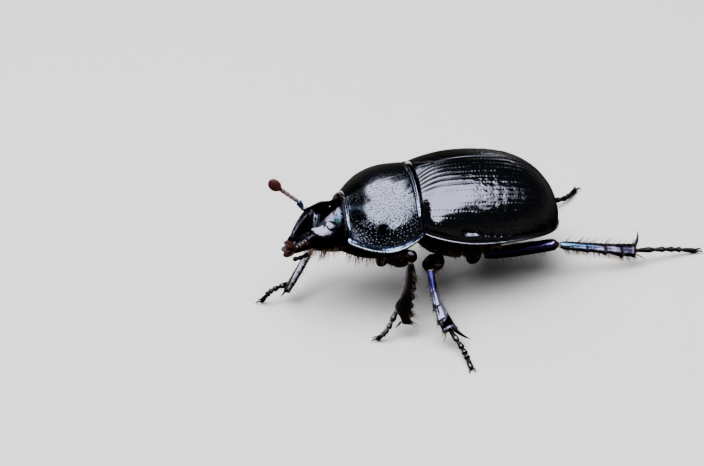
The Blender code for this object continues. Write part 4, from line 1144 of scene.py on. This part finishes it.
# Hip, knee, ankle, arch of the foot and toe.
LEG_JOINTS = {
    "front_left": (
        (1.60, -2.50, 3.30), (4.80, -1.05, 4.95), (6.30, -2.25, 1.02),
        (6.25, -3.45, 0.75), (6.00, -4.10, 0.16),
    ),
    "front_right": (
        (-1.50, -2.50, 3.20), (-3.10, -6.22, 2.75), (-1.00, -8.70, 0.90),
        (-1.25, -9.65, 1.02), (-1.65, -10.35, 0.16),
    ),
    "middle_left": (
        (2.45, 0.90, 2.70), (5.40, -0.12, 4.45), (8.40, 0.27, 1.15),
        (10.20, 0.74, 0.50), (11.85, 0.80, 0.16),
    ),
    "middle_right": (
        (-2.30, 0.90, 2.50), (-5.40, 0.30, 4.20), (-8.30, 1.90, 1.15),
        (-10.00, 2.50, 0.45), (-11.60, 3.30, 0.16),
    ),
    "hind_left": (
        (1.85, 3.40, 2.35), (2.65, 8.55, 2.45), (3.10, 13.80, 1.05),
        (3.10, 16.10, 0.62), (3.20, 17.85, 0.16),
    ),
    "hind_right": (
        (-1.60, 3.40, 2.25), (-6.20, 4.95, 3.55), (-6.00, 9.40, 0.95),
        (-6.60, 11.30, 0.42), (-8.00, 12.50, 0.16),
    ),
}
COXA_RADIUS = {"front": 0.60, "middle": 0.62, "hind": 0.66}
FEMUR_HALF_WIDTH = {"front": 0.62, "middle": 0.62, "hind": 0.60}
KNEE_RADIUS = 0.40
FORE_SHIN_TURN = {"front_left": 0.0, "front_right": math.radians(28)}
MIDDLE_SHIN_BOW = 0.20
FRONT_TEETH = 6
VIOLET = np.array([0.045, 0.015, 0.22])
# Pale lilac and light blue are painted reflections on the legs.
LILAC_HIGHLIGHT_PAINT = np.array([0.16, 0.155, 0.22])
BLUE_HIGHLIGHT_PAINT = np.array([0.05, 0.14, 0.38])


def joints(name):
    return [np.array(joint) for joint in LEG_JOINTS[name]]


def shin_line(name):
    _, knee, ankle, _, _ = joints(name)
    along = unit(ankle - knee)
    return knee + along * (KNEE_RADIUS + 0.07), ankle, along


def square_to(vector, along):
    vector = np.asarray(vector, float)
    return unit(vector - along * (along @ vector))


def inward_direction(name):
    _, end, along = shin_line(name)
    inward = Vector(square_to(joints(name)[4] - end, along))
    return np.array(Matrix.Rotation(FORE_SHIN_TURN[name], 3, Vector(along)) @ inward)


def tooth(gap, before, behind, sharpness=2.0):
    """A tooth along a limb: it swells over the length before its peak and drops over the one behind."""
    return np.where(gap < 0, np.exp(-((np.abs(gap) / before) ** sharpness)), bell(gap, behind))


def hip_and_thigh(name):
    pair = name.split("_")[0]
    hip, knee = joints(name)[:2]
    along = unit(knee - hip)
    radius = COXA_RADIUS[pair]

    def dimple(shape):
        return 1 + 0.03 * np.sin(5 * shape[..., 0] + 3 * shape[..., 1]) - 0.02 * bell(shape[..., 2], 0.2)

    def keel(share, angle):
        knee_dent = bell(np.abs(np.sin(angle)) - 1, 0.2) * bell(share - 0.9, 0.1)
        return 0.05 * bell(np.cos(angle) + 1, 0.25) * np.sin(math.pi * share) - 0.03 * knee_dent

    spindle = axes_of((math.copysign(1.0, hip[0]), -0.35, -0.15), (0, 0, 1))
    piece = Piece()
    blob(piece, hip + [0.0, 0.0, 0.10], radius * np.array([1.15, 0.78, 0.80]), spindle, relief=dimple)
    piece.finish(f"{name}_hip", LEG_SHELL, f"{name}_coxa", "underside", body=False)
    start = hip + along * (radius + 0.02)
    end = knee + along * KNEE_RADIUS
    widest = FEMUR_HALF_WIDTH[pair]
    share = np.sin(0.5 * math.pi * np.linspace(0, 1, 80))
    slender = ((0, 0.24), (0.07, 0.34), (0.12, 0.37))
    swell = (*slender, (0.40, widest), (0.62, widest * 0.93), (0.86, 0.40), (0.95, 0.33), (1, 0.10))
    widths = table(swell, share)
    depths = np.minimum(widths, 0.33 + 0.16 * widths)
    path = start + (end - start) * share[:, None]
    side = (0, 0, 1) if pair != "hind" else (1, 0, 0.4)
    rings = tube_grid(path, widths, depths, side, 44, 2.1, keel)
    rings = rings + 0.012 * wavy(rings, 5.0, 3)[..., None] * unit(rings - path[:, None])
    slot, finish, tone = "violet_leg", VIOLET_SHELL, ZERO
    if pair == "front":
        slot, finish = "black_leg", LEG_SHELL
    elif pair == "middle":
        # A violet tint, with the knee end darkened as painted shade.
        tone = VIOLET * 0.3 - np.array([0.062, 0.050, 0.155]) * ramp(share, 0.60, 0.80)[:, None, None]
    else:
        # Painted light: the upper side is lit violet with a pale lilac highlight near the knee, and the
        # underside is darkened as painted shade.
        upper = ramp(unit(rings - path[:, None])[..., 2:], -0.2, 0.5)
        tone = VIOLET * 0.8 * upper - np.array([0.035, 0.033, 0.055]) * (1 - upper)
        tone = tone + LILAC_HIGHLIGHT_PAINT * upper * ramp(share, 0.80, 0.93)[:, None, None]
    closed_piece(f"{name}_thigh", rings, finish, f"{name}_femur", slot, tone, False)


LEFT_INNER_EDGE = (
    (0, 0.19), (0.10, 0.21), (0.45, 0.28), (0.60, 0.48), (0.72, 0.72), (0.80, 0.62), (0.88, 0.38), (1, 0.14),
)
LEFT_OUTER_EDGE = ((0, 0.22), (0.10, 0.36), (0.47, 0.36), (0.72, 0.26), (0.85, 0.30), (1, 0.20))


def fore_shin(name):
    start, end, along = shin_line(name)
    inward = inward_direction(name)
    face = np.cross(along, inward)
    share = np.linspace(0, 1, 150)
    left = name.endswith("left")
    if left:
        inner, outer = table(LEFT_INNER_EDGE, share), table(LEFT_OUTER_EDGE, share)
    else:
        inner = 0.17 + 0.17 * ramp(share, 0.0, 0.6) - 0.05 * ramp(share, 0.93, 1.0)
        outer = 0.19 + 0.22 * share
    for k in range(FRONT_TEETH):
        peak = 0.27 + 0.144 * k
        outer = outer + (0.05 + 0.26 * peak) * tooth(share - peak, 0.066, 0.038, 2.4)
    thick = 0.21 + 0.05 * np.sin(math.pi * share)
    angles = full_turn(48)
    cosine, sine = np.cos(angles), np.sin(angles)
    x = np.where(cosine > 0, inner[:, None], outer[:, None]) * cosine
    # The blade keeps its thickness over a board and thins towards the teeth.
    board = (0.17 + 0.24 * share)[:, None]
    flank = np.sqrt(np.clip(1 - (np.minimum(-x, board) / board) ** 2, 0, 1)) * 0.8 + 0.2 * np.abs(sine)
    flank = np.where(cosine > 0, np.abs(sine) ** 0.9, np.minimum(flank, np.abs(sine) ** 0.3))
    y = thick[:, None] * np.sign(sine) * flank
    centre = start + (end - start) * share[:, None]
    rings = centre[:, None] + inward * x[..., None] + face * y[..., None]
    tone = np.array([0.012, 0.003, 0.0]) * np.clip(-x - 0.42, 0, 0.3)[..., None] * 2.0
    # Painted reflection: the right shin gets a pale lilac stripe over its upper part.
    if not left:
        tone += LILAC_HIGHLIGHT_PAINT * 0.6 * fall(share, 0.55, 0.9)[:, None, None]
    piece = Piece()
    piece.grid(rings, True, tone)
    if left:
        # Painted highlight: a pale ridge tube along the inner edge stands in for a bright line of light.
        ridge = centre + inward * inner[:, None] * 0.93 + face * thick[:, None] * np.sign(face[0]) * 0.42
        ridge = ridge[6:-20]
        size = np.full(len(ridge), 0.045)
        piece.tube(ridge, size, size, inward, 12, tone=(0.30, 0.29, 0.33))
    piece.finish(f"{name}_shin", LEG_SHELL, f"{name}_tibia", "black_leg", body=False)
    piece = Piece()
    root = end - along * 0.12 + inward * 0.24
    tip = root + unit(along * 0.75 + inward * 0.65) * 0.62
    thorn(piece, root, tip, 0.085, (0.01, 0.004, 0.002), 10, 8, along * 0.06)
    piece.finish(f"{name}_spur", LEG_SHELL, f"{name}_tibia", "black_leg", body=False)


def joint_skin(name):
    """The pale skin that shows between a thigh and its shin."""

    def crumple(shape):
        folds = np.sin(9 * shape[..., 0]) * np.sin(7 * shape[..., 1] + 1)
        return 1 + 0.12 * folds + 0.1 * np.sin(11 * shape[..., 2])

    knee, (start, _, along) = joints(name)[1], shin_line(name)
    piece = Piece()
    turn = axes_of(along, (0.1, 0.2, 1))
    blob(piece, 0.35 * knee + 0.65 * start, (0.27, 0.18, 0.18), turn, relief=crumple)
    piece.finish(f"{name}_joint_skin", JOINT_SKIN, f"{name}_tibia", "black_leg", body=False)


def shin_tint_and_painted_light(name, share, angle):
    """Colour zones of the middle and hind shins: a violet tint, painted reflections in pale lilac, light blue
    and cyan, and painted shade in a notch and a black end.
    """
    share, angle = np.broadcast_arrays(share[..., None], angle[..., None])
    side = np.cos(angle)
    if name.startswith("middle"):
        end = 0.80 - 0.10 * side
        tone = np.array([-0.026, -0.026, 0.035]) * fall(share, 0.26, 0.40)
        tone += LILAC_HIGHLIGHT_PAINT * ramp(share, 0.24, 0.42) * fall(share, end, end + 0.04)
        # A painted dark notch on the back side, and painted shade at the black end.
        notch = bell(share - 0.56, 0.035) * ramp(-side, 0.1, 0.5)
        black = np.maximum(ramp(share, end, end + 0.05), notch)
        tone = tone * (1 - notch) - np.array([0.050, 0.046, 0.080]) * black
        return tone + LILAC_HIGHLIGHT_PAINT * bell(share - 0.97, 0.02)
    behind = ramp(-side, 0.0, 0.8)
    # Hind shin: painted reflections, light blue and cyan towards the knee, lilac on the back side and in
    # patches.
    tone = BLUE_HIGHLIGHT_PAINT * fall(share, 0.36, 0.55) * (1 - 0.6 * behind)
    tone += np.array([0.02, 0.10, 0.04]) * bell(share - 0.12, 0.12)
    tone += LILAC_HIGHLIGHT_PAINT * behind * fall(share, 0.55, 0.70)
    return tone + LILAC_HIGHLIGHT_PAINT * (bell(share - 0.68, 0.05) + ramp(-side, 0.2, 0.8) * bell(share - 0.84, 0.04))


SHIN_SIDES = 48
SHIN_ROWS = 130
SHIN_RIDGES = ((0.36, 0.05), (0.60, 0.09), (0.82, 0.10))  # share along the shin, height
SPINE_ROWS = ((0.36, 0.16, 5), (0.60, 0.22, 8), (0.82, 0.26, 9), (0.99, 0.30, 17))  # share, length, number
SPINE_BROWN = (0.015, 0.008, 0.004)


def carinae(share, angle):
    """Cross ridges on the outer side, fine grooves along the shin, and a crown at its end."""
    reach = 0.0
    for place, height in SHIN_RIDGES:
        reach = reach + height * tooth(share - place + 0.03 * np.sin(angle), 0.10, 0.016)
    grooves = -0.016 * np.cos(6 * angle) * ramp(share, 0.05, 0.2)
    return reach * np.clip(0.25 - np.cos(angle), 0, 1.25) + grooves + 0.05 * bell(share - 0.975, 0.02)


def long_shin(name):
    start, end, along = shin_line(name)
    hind = name.startswith("hind")
    across = square_to((-math.copysign(0.85, end[0]), 0, 0.53) if hind else (0, 1, 0), along)
    share = np.linspace(0, 1, SHIN_ROWS)
    centre = start + (end - start) * share[:, None]
    if not hind:
        centre = centre - across * (MIDDLE_SHIN_BOW * np.sin(math.pi * share))[:, None]
    girth = ((0, 0.20), (0.05, 0.22), (0.35, 0.23), (0.6, 0.31), (0.9, 0.43), (0.97, 0.44), (1, 0.40))
    widths = table(girth, share)
    if hind:
        widths = widths + 0.06 * ramp(share, 0.0, 0.06) * fall(share, 0.35, 0.7)
    depths = 0.215 + 0.30 * (widths - 0.22)
    rings = tube_grid(centre, widths, depths, across, SHIN_SIDES, 2.2 if hind else 2.9, carinae)
    # The end is a shallow cup.
    cup = [
        end + along * step + (rings[-1] - rings[-1].mean(axis=0)) * size
        for step, size in ((0.03, 0.9), (0.0, 0.7), (-0.12, 0.45))
    ]
    tone = shin_tint_and_painted_light(name, share[:, None], full_turn(SHIN_SIDES)[None, :])
    tone = np.concatenate([tone, np.zeros((len(cup), SHIN_SIDES, 3))], axis=0)
    rings = np.concatenate([rings, np.stack(cup)], axis=0)
    closed_piece(f"{name}_shin", rings, VIOLET_SHELL, f"{name}_tibia", "violet_leg", tone, False)
    piece = Piece()
    long_lean = along * 0.25 + across if hind else along * 0.75 + across * 0.65
    short_lean = along * 0.85 - across * 0.5
    spurs = (
        (1.0, long_lean, 1.35, 0.15, (-0.03, -0.03, -0.03)),
        (-1.0, short_lean, 0.9, 0.060, (0.22, 0.17, 0.08)),
    )
    for sign, lean, length, radius, shade in spurs:
        root = end - along * 0.10 + across * sign * 0.24
        thorn(piece, root, root + unit(lean) * length, radius, shade, 10, 12, along * 0.14)
    for place, size, number in SPINE_ROWS:
        last = place > 0.95
        spread = math.pi if last else 1.15
        row = int(round(place * (SHIN_ROWS - 1))) - 1
        for angle in np.linspace(math.pi - spread, math.pi + spread, number + last)[:number]:
            root = rings[row, int(round(angle / (2 * math.pi) * SHIN_SIDES)) % SHIN_SIDES]
            out = unit(root - centre[row])
            tip = root + unit(along * 0.9 + out * 0.55) * size * RNG.uniform(0.8, 1.15)
            thorn(piece, root - out * 0.02, tip, 0.030, SPINE_BROWN, 6, 4)
    piece.finish(f"{name}_spines", LEG_SHELL, f"{name}_tibia", "black_leg", body=False)


SEGMENT_SHARES = (0.0, 0.27, 0.43, 0.57, 0.70, 1.0)
SEGMENT_ROWS = 24
FOOT_BLACK = np.array([0.038, 0.032, 0.036])
# Points of a claw from the toe: ahead, sideways and up.
CLAW_LINE = ((-0.06, 0.05, 0.01), (0.18, 0.17, 0.05), (0.40, 0.20, -0.12))


def foot(name):
    knee, ankle, arch, toe = joints(name)[1:]
    root = shin_line(name)[1] - shin_line(name)[2] * 0.06
    if name.startswith("front"):
        reach = 0.56 if name.endswith("left") else 0.30
        root = knee + (ankle - knee) * 0.80 + inward_direction(name) * reach
    line = smooth_path((root, arch, toe), 400)
    at = np.linspace(0, 1, SEGMENT_ROWS)
    # Painted glints near the end of each segment.
    painted_glint = np.array([0.14, 0.135, 0.16]) * bell(at - 0.80, 0.07)[:, None, None]
    piece = Piece()
    for begin, end in zip(SEGMENT_SHARES, SEGMENT_SHARES[1:]):
        first, last = line[[int(begin * (len(line) - 1)), int(end * (len(line) - 1))]]
        path = first + (last - first) * at[:, None]
        rounded = 0.175 if end == 1.0 else 0.20
        body = table(((0, 0.09), (0.12, 0.125), (0.5, 0.165), (0.80, rounded), (1, 0.11)), at)
        rings = tube_grid(path, body * 0.95, body, (0, 0, 1), 20)
        tone = painted_glint
        # Painted highlight: the left front foot gets a pale stripe along one side of each segment.
        if name == "front_left":
            painted_stripe = np.clip(unit(rings - path[:, None]) @ unit([0.48, -0.30, 0.82]), 0, 1) ** 14
            tone = painted_glint + np.array([0.20, 0.195, 0.22]) * painted_stripe[..., None]
        piece.grid(rings, True, tone - FOOT_BLACK)
        tangent = unit(path[-1] - path[0])
        side = square_to((0, 0, 1), tangent)
        for turn in full_turn(4) + 0.6:
            out = side * math.cos(turn) + np.cross(tangent, side) * math.sin(turn)
            base = path[-3] + out * 0.12
            tip = base + unit(tangent + out * 0.8) * RNG.uniform(0.16, 0.26)
            thorn(piece, base, tip, 0.020, (0.02, 0.01, 0.005), 5, 4)
    heading = unit((toe - arch) * [1.0, 1.0, 0.0])
    sideways = np.array([-heading[1], heading[0], 0.0])
    size = table(((0, 0.075), (0.5, 0.055), (1, 0.012)), np.linspace(0, 1, 16))
    for sign in (1.0, -1.0):
        hook = [toe + heading * x + sideways * sign * y + [0, 0, z] for x, y, z in CLAW_LINE]
        piece.tube(smooth_path(hook, 16), size, size, (0, 0, 1), 12, tone=(0.04, 0.018, 0.008))
    for points in piece.points:
        points[:, 2] = np.maximum(points[:, 2], 0.0)
    piece.finish(f"{name}_foot", LEG_SHELL, f"{name}_tarsus", "black_leg", body=False)


# ---------------------------------------------------------------- bristles

BLOND = np.array([0.36, 0.27, 0.15])
GOLDEN = np.array([0.20, 0.115, 0.045])
DARK_BROWN = np.array([0.020, 0.010, 0.004])


def scatter(sheet, count, rows, columns):
    """Random roots on a sheet: places, outward normals, and their shares for the unwrap."""
    normals = outward_normals(sheet, sheet.mean(axis=(0, 1)))
    down, over = RNG.uniform(*rows, count), RNG.uniform(*columns, count)
    i = np.round(down * (sheet.shape[0] - 1)).astype(int)
    j = np.round(over * (sheet.shape[1] - 1)).astype(int)
    return sheet[i, j], normals[i, j], np.stack([over, down], -1)


def jitter(count, size):
    return RNG.normal(size=(count, 3)) * size


def coat(name, sheet, count, rows, columns, outward, droop, sway, *look):
    """Hairs scattered over a sheet, leaning outwards and along droop.

    look lists their lengths, thickness, curl, colour and, where it isn't the usual one, the spread of shades.
    """
    lengths, thick, curl, *shade = look
    roots, out, uv = scatter(sheet, count, rows, columns)
    lean = out * outward + droop + jitter(count, sway)
    hairs(name, roots, lean, lengths, thick, curl, uv, *shade)


def chest_sheet(angle):
    v = np.linspace(0.05, 0.95, 50)[:, None]
    power = 2 / chest_power(v)
    left, right = pronotum_points(v, 0 * v), pronotum_points(v, 0 * v + math.pi)
    across = signed_power(np.cos(angle), power)
    chest = (left + right) / 2 + (left - right) * 0.5 * 0.85 * across[..., None]
    chest[..., 2] -= 0.14 + np.interp(v, *zip(*CHEST_DEPTH)) * np.sin(angle) ** power
    return chest


def belly_sheet(angle):
    t = np.linspace(0.02, 0.92, 60)[:, None]
    x = elytra_half_width(t) * TRUNK_SHARE * 0.96 * signed_power(np.cos(angle), 2 / BELLY_POWER)
    y = DOME_MIDDLE + (t * ELYTRA_LENGTH - DOME_MIDDLE) * TRUNK_SHARE
    z = margin_level(t) - 0.12 - np.interp(t, *zip(*BELLY_DEPTH)) * np.sin(angle) ** (2 / BELLY_POWER)
    return np.stack([x, y + 0 * x, z], -1)


def body_bristles():
    whole = (0.0, 1.0)
    angle = math.pi * np.linspace(0, 1, 60)[None, :]
    throat = head_underside(np.linspace(0, 7, 60)[:, None], angle)
    look = ((0.6, 1.1), 0.018, (0, -0.12, 0.0), GOLDEN * 0.8, 0.9)
    coat("throat_bristles", throat, 190, (0.0, 0.75), (0.34, 0.66), 0.25, [0, -0.10, -1.0], 0.22, *look)
    look = ((0.35, 0.85), 0.016, (0, 0.1, 0), GOLDEN * 0.6, 0.9)
    chest = chest_sheet(angle)
    coat("chest_bristles", chest, 420, whole, (0.22, 0.78), 0.3, [0, -0.10, -0.95], 0.24, *look)
    count = 120
    around = np.linspace(0.02, math.pi - 0.02, count)
    edge = pronotum_points(np.zeros(count), around)
    edge[:, 1] += RNG.uniform(-0.02, 0.12, count)
    edge = TILT_PIVOT + (edge - TILT_PIVOT) * [0.93, 1.0, 0.955]
    lean = np.array([0, -1.0, 0.06]) + jitter(count, 0.16)
    uv = np.stack([around / math.pi, np.full(count, 0.05)], -1)
    hairs("collar_fringe", edge, lean, (0.12, 0.30), 0.007, (0, 0, -0.1), uv, GOLDEN * 0.30, 0.9)
    look = ((0.20, 0.50), 0.009, (0, 0.15, 0), GOLDEN * 0.6)
    belly = belly_sheet(math.pi * np.linspace(0.08, 0.92, 60)[None, :])
    coat("belly_bristles", belly, 700, whole, whole, 0.8, [0, 0.35, -0.3], 0.25, *look)
    count = 46
    lateral = RNG.uniform(-0.5, 0.5, count)
    roots = np.stack([lateral, -7.80 - 0.05 * RNG.random(count), np.full(count, -2.62)], -1)
    lean = np.stack([lateral * 0.6, np.full(count, -1.0), np.full(count, -0.35)], -1) + jitter(count, 0.2)
    uv = np.stack([lateral + 0.5, np.full(count, 0.5)], -1)
    hairs("lip_bristles", roots, lean, (0.12, 0.26), 0.008, (0, 0, -0.1), uv, BLOND * 0.9)


def feeler_bristles(side, count):
    line = smooth_path(ANTENNA_PATHS[side], 60)
    at = RNG.integers(8, 58, count)
    along = unit(line[-1] - line[0])
    out = jitter(count, 1.0)
    out = unit(out - along * (out @ along)[:, None])
    uv = np.stack([at / 60, RNG.random(count)], -1)
    lean = out + along * 0.7
    hairs(f"feeler_bristles_{side}", line[at] + out * 0.10, lean, (0.10, 0.30), 0.006, ZERO, uv, GOLDEN)


# For each pair the direction of its first side, then two groups: number, side, shares along the shin,
# lengths, colour and thickness.
SHIN_HAIRS = {
    "front": (
        None,
        (60, -1.0, (0.10, 1.0), (0.35, 0.80), DARK_BROWN * 2, 0.020),
        (26, 1.0, (0.1, 0.6), (0.25, 0.60), GOLDEN, 0.009),
    ),
    "middle": (
        (0, 1, 0),
        (46, -1.0, (0.15, 1.0), (0.22, 0.50), DARK_BROWN, 0.013),
        (40, 1.0, (0.1, 0.98), (0.20, 0.45), GOLDEN * 0.7, 0.010),
    ),
    "hind": (
        (0, 0, 1),
        (230, -1.0, (0.04, 0.98), (0.42, 0.66), GOLDEN * 1.2, 0.021),
        (30, 1.0, (0.02, 0.95), (0.45, 0.75), DARK_BROWN, 0.030),
    ),
}


def leg_bristles(name):
    pair = name.split("_")[0]
    hip, knee = joints(name)[:2]
    start, end, along = shin_line(name)
    thigh_line = unit(knee - hip)
    count = 60
    share = RNG.uniform(0.18, 0.95, count)
    down = square_to((0, 0, -1), thigh_line)
    turn = RNG.normal(0, 0.7, count)
    out = down * np.cos(turn)[:, None] + np.cross(thigh_line, down) * np.sin(turn)[:, None]
    width = FEMUR_HALF_WIDTH[pair] * 0.80 * np.sin(math.pi * share) ** 0.4 * 0.85
    roots = hip + (knee - hip) * share[:, None] + out * width[:, None]
    uv = np.stack([share, (turn + 3.2) / 6.4], -1)
    lean = out + thigh_line * 0.35 + jitter(count, 0.2)
    curl = (0, 0, -0.05)
    hairs(f"{name}_thigh_bristles", roots, lean, (0.25, 0.60), 0.015, curl, uv, GOLDEN * 0.5, body=False)
    facing, *groups = SHIN_HAIRS[pair]
    inner = inward_direction(name) if facing is None else square_to(facing, along)
    face = np.cross(along, inner)
    for number, (count, sign, reach, lengths, colour, thick) in enumerate(groups):
        share = np.sort(RNG.uniform(*reach, count))
        width = np.interp(share, (0, 0.35, 0.6, 0.9, 1), (0.20, 0.22, 0.29, 0.40, 0.40))
        centre = start + (end - start) * share[:, None]
        if pair == "middle":
            centre = centre - inner * (MIDDLE_SHIN_BOW * np.sin(math.pi * share))[:, None]
        sway = RNG.normal(0, 0.15 if pair == "hind" else 0.35, count)
        out = inner * sign * np.cos(sway)[:, None] + face * np.sin(sway)[:, None]
        lean = out + along * RNG.uniform(0.25, 0.7, count)[:, None]
        uv = np.stack([share, np.full(count, 0.25 + 0.5 * number) + sway * 0.1], -1)
        roots = centre + out * (width * 0.9)[:, None]
        title = f"{name}_shin_bristles_{number}"
        hairs(title, roots, lean, lengths, thick, along * 0.15, uv, colour, body=False)


trunk_part("belly", "abdomen", 0.48, 0.985, 150, sternite_relief)
trunk_part("breast", "metasternum", 0.0, 0.47, 120, breast_relief)
forebody_underside()
skull()
eyes_and_cheeks()
mouth()
feeler("left")
feeler("right")
for leg in LEG_JOINTS:
    hip_and_thigh(leg)
    if leg.startswith("front"):
        fore_shin(leg)
    else:
        long_shin(leg)
    joint_skin(leg)
    foot(leg)
    leg_bristles(leg)
body_bristles()
feeler_bristles("left", 16)
feeler_bristles("right", 44)


# ---------------------------------------------------------------- camera, floor and light

CAMERA_AZIMUTH = math.radians(81.322)
CAMERA_ELEVATION = math.radians(28.601)
CAMERA_ROLL = math.radians(-7.193)
CAMERA_TARGET = Vector((-0.000172, -0.001526, 0.006324))
CAMERA_DISTANCE = 0.232828
FRAME_OFFSET = Vector((0.02508, 0.01107, -1.0))  # where the target lies in the view
LENS_MM, SENSOR_MM = 184.0, 36.0


def camera():
    flat = Vector((math.sin(CAMERA_AZIMUTH), -math.cos(CAMERA_AZIMUTH), 0.0))
    back = math.cos(CAMERA_ELEVATION) * flat + Vector((0.0, 0.0, math.sin(CAMERA_ELEVATION)))
    level = Vector((math.cos(CAMERA_AZIMUTH), math.sin(CAMERA_AZIMUTH), 0.0))
    right = math.cos(CAMERA_ROLL) * level + math.sin(CAMERA_ROLL) * back.cross(level)
    turn = Matrix((right, back.cross(right), back)).transposed()
    aim = FRAME_OFFSET.normalized().rotation_difference(Vector((0, 0, -1))).to_matrix()
    lens = bpy.data.cameras.new("view")
    lens.lens, lens.sensor_width = LENS_MM, SENSOR_MM
    lens.clip_start, lens.clip_end = 0.01, 5.0
    made = bpy.data.objects.new("view", lens)
    place = CAMERA_TARGET + back * CAMERA_DISTANCE
    made.matrix_world = Matrix.Translation(place) @ (turn @ aim).to_4x4()
    bpy.context.scene.collection.objects.link(made)
    bpy.context.scene.camera = made


def floor():
    mesh = bpy.data.meshes.new("floor")
    half = 0.6
    corners = [(-half, -half, 0), (half, -half, 0), (half, half, 0), (-half, half, 0)]
    mesh.from_pydata(corners, [], [(0, 1, 2, 3)])
    plain = bpy.data.materials.new("floor_pale")
    plain.use_nodes = True
    shader = plain.node_tree.nodes["Principled BSDF"]
    shader.inputs["Base Color"].default_value = (0.60, 0.59, 0.57, 1.0)
    shader.inputs["Roughness"].default_value = 0.9
    mesh.materials.append(plain)
    made = bpy.data.objects.new("floor", mesh)
    made.visible_glossy = False
    bpy.context.scene.collection.objects.link(made)


SKY_COLOUR = (0.93, 0.94, 1.0)
SKY_HEIGHT = 150.0
# The overhead window is built from level strips, so that its outline follows a gap in a canopy.
SKY_STRIPS = (  # x from, x to, y from, y to in millimetres, radiance
    (-125, 15, -98, -62, 7.0),
    (-270, 150, -62, -22, 7.0),
    (-250, 165, -22, -8, 7.0),
    (-180, 160, -8, 8, 7.0),
    (-95, 135, 8, 20, 7.0),
    (-60, 118, 20, 34, 7.0),
    (-28, 100, 34, 58, 7.0),
    (10, 85, 58, 80, 5.0),
    (85, 140, 58, 100, 2.5),
    (0, 85, 80, 112, 1.6),
    (0, 65, 112, 190, 0.8),
)
ORIGIN = (0.0, 0.0, 0.0)
GLOWS = (  # name, place, target, size, radiance, colour, with lengths in metres
    ("low_glow", (-0.10, -0.46, 0.07), ORIGIN, (0.36, 0.06), 4.5, (0.95, 0.93, 1.0)),
    ("far_rim", (-0.44, -0.15, -0.08), (0.0, -0.01, 0.005), (0.16, 0.14), 3.0, (0.95, 0.92, 1.0)),
    ("far_gap", (-0.44, 0.20, 0.10), ORIGIN, (0.11, 0.03), 3.5, (0.95, 0.95, 1.0)),
)
FILL_PLACE, FILL_SIZE, FILL_WATTS, FILL_COLOUR = (0.10, -0.15, 0.55), (0.5, 0.5), 4.0, (1.0, 0.98, 0.95)


def area_light(name, place, target, size, radiance, colour):
    lamp = bpy.data.lights.new(name, "AREA")
    lamp.shape = "RECTANGLE"
    lamp.size, lamp.size_y = size
    lamp.energy = radiance * math.pi * size[0] * size[1]
    lamp.color = colour
    made = bpy.data.objects.new(name, lamp)
    made.location = place
    aim = Vector(target) - Vector(place)
    if aim.xy.length > 1e-6:
        made.rotation_euler = aim.to_track_quat("-Z", "Y").to_euler()
    bpy.context.scene.collection.objects.link(made)
    return made


def lights():
    for number, (left, right, front, rear, radiance) in enumerate(SKY_STRIPS):
        size = ((right - left) * MM, (rear - front) * MM)
        x, y = (left + right) / 2 * MM, (front + rear) / 2 * MM
        area_light(f"sky_{number}", (x, y, SKY_HEIGHT * MM), (x, y, 0.0), size, radiance, SKY_COLOUR)
    fill = area_light("room_fill", FILL_PLACE, ORIGIN, FILL_SIZE, 0.0, FILL_COLOUR)
    fill.data.energy = FILL_WATTS
    fill.visible_glossy = False
    for glow in GLOWS:
        area_light(*glow)


def room():
    """A dim surrounding, brightest at the horizon."""
    world = bpy.data.worlds.new("room")
    world.use_nodes = True
    nodes, link = node_links(world)
    aim, split = nodes.new("ShaderNodeTexCoord"), nodes.new("ShaderNodeSeparateXYZ")
    level, shade = nodes.new("ShaderNodeMapRange"), nodes.new("ShaderNodeValToRGB")
    level.inputs["From Min"].default_value, level.inputs["From Max"].default_value = -1.0, 1.0
    stops = shade.color_ramp.elements
    stops[0].position, stops[0].color = 0.28, (0.010, 0.009, 0.008, 1.0)
    stops[1].position, stops[1].color = 0.625, (0.030, 0.032, 0.036, 1.0)
    stops.new(0.43).color = (0.115, 0.100, 0.085, 1.0)
    link(aim.outputs["Generated"], split.inputs["Vector"])
    link(split.outputs["Z"], level.inputs["Value"])
    link(level.outputs["Result"], shade.inputs["Fac"])
    link(shade.outputs["Color"], nodes["Background"].inputs["Color"])
    bpy.context.scene.world = world


camera()
floor()
lights()
room()
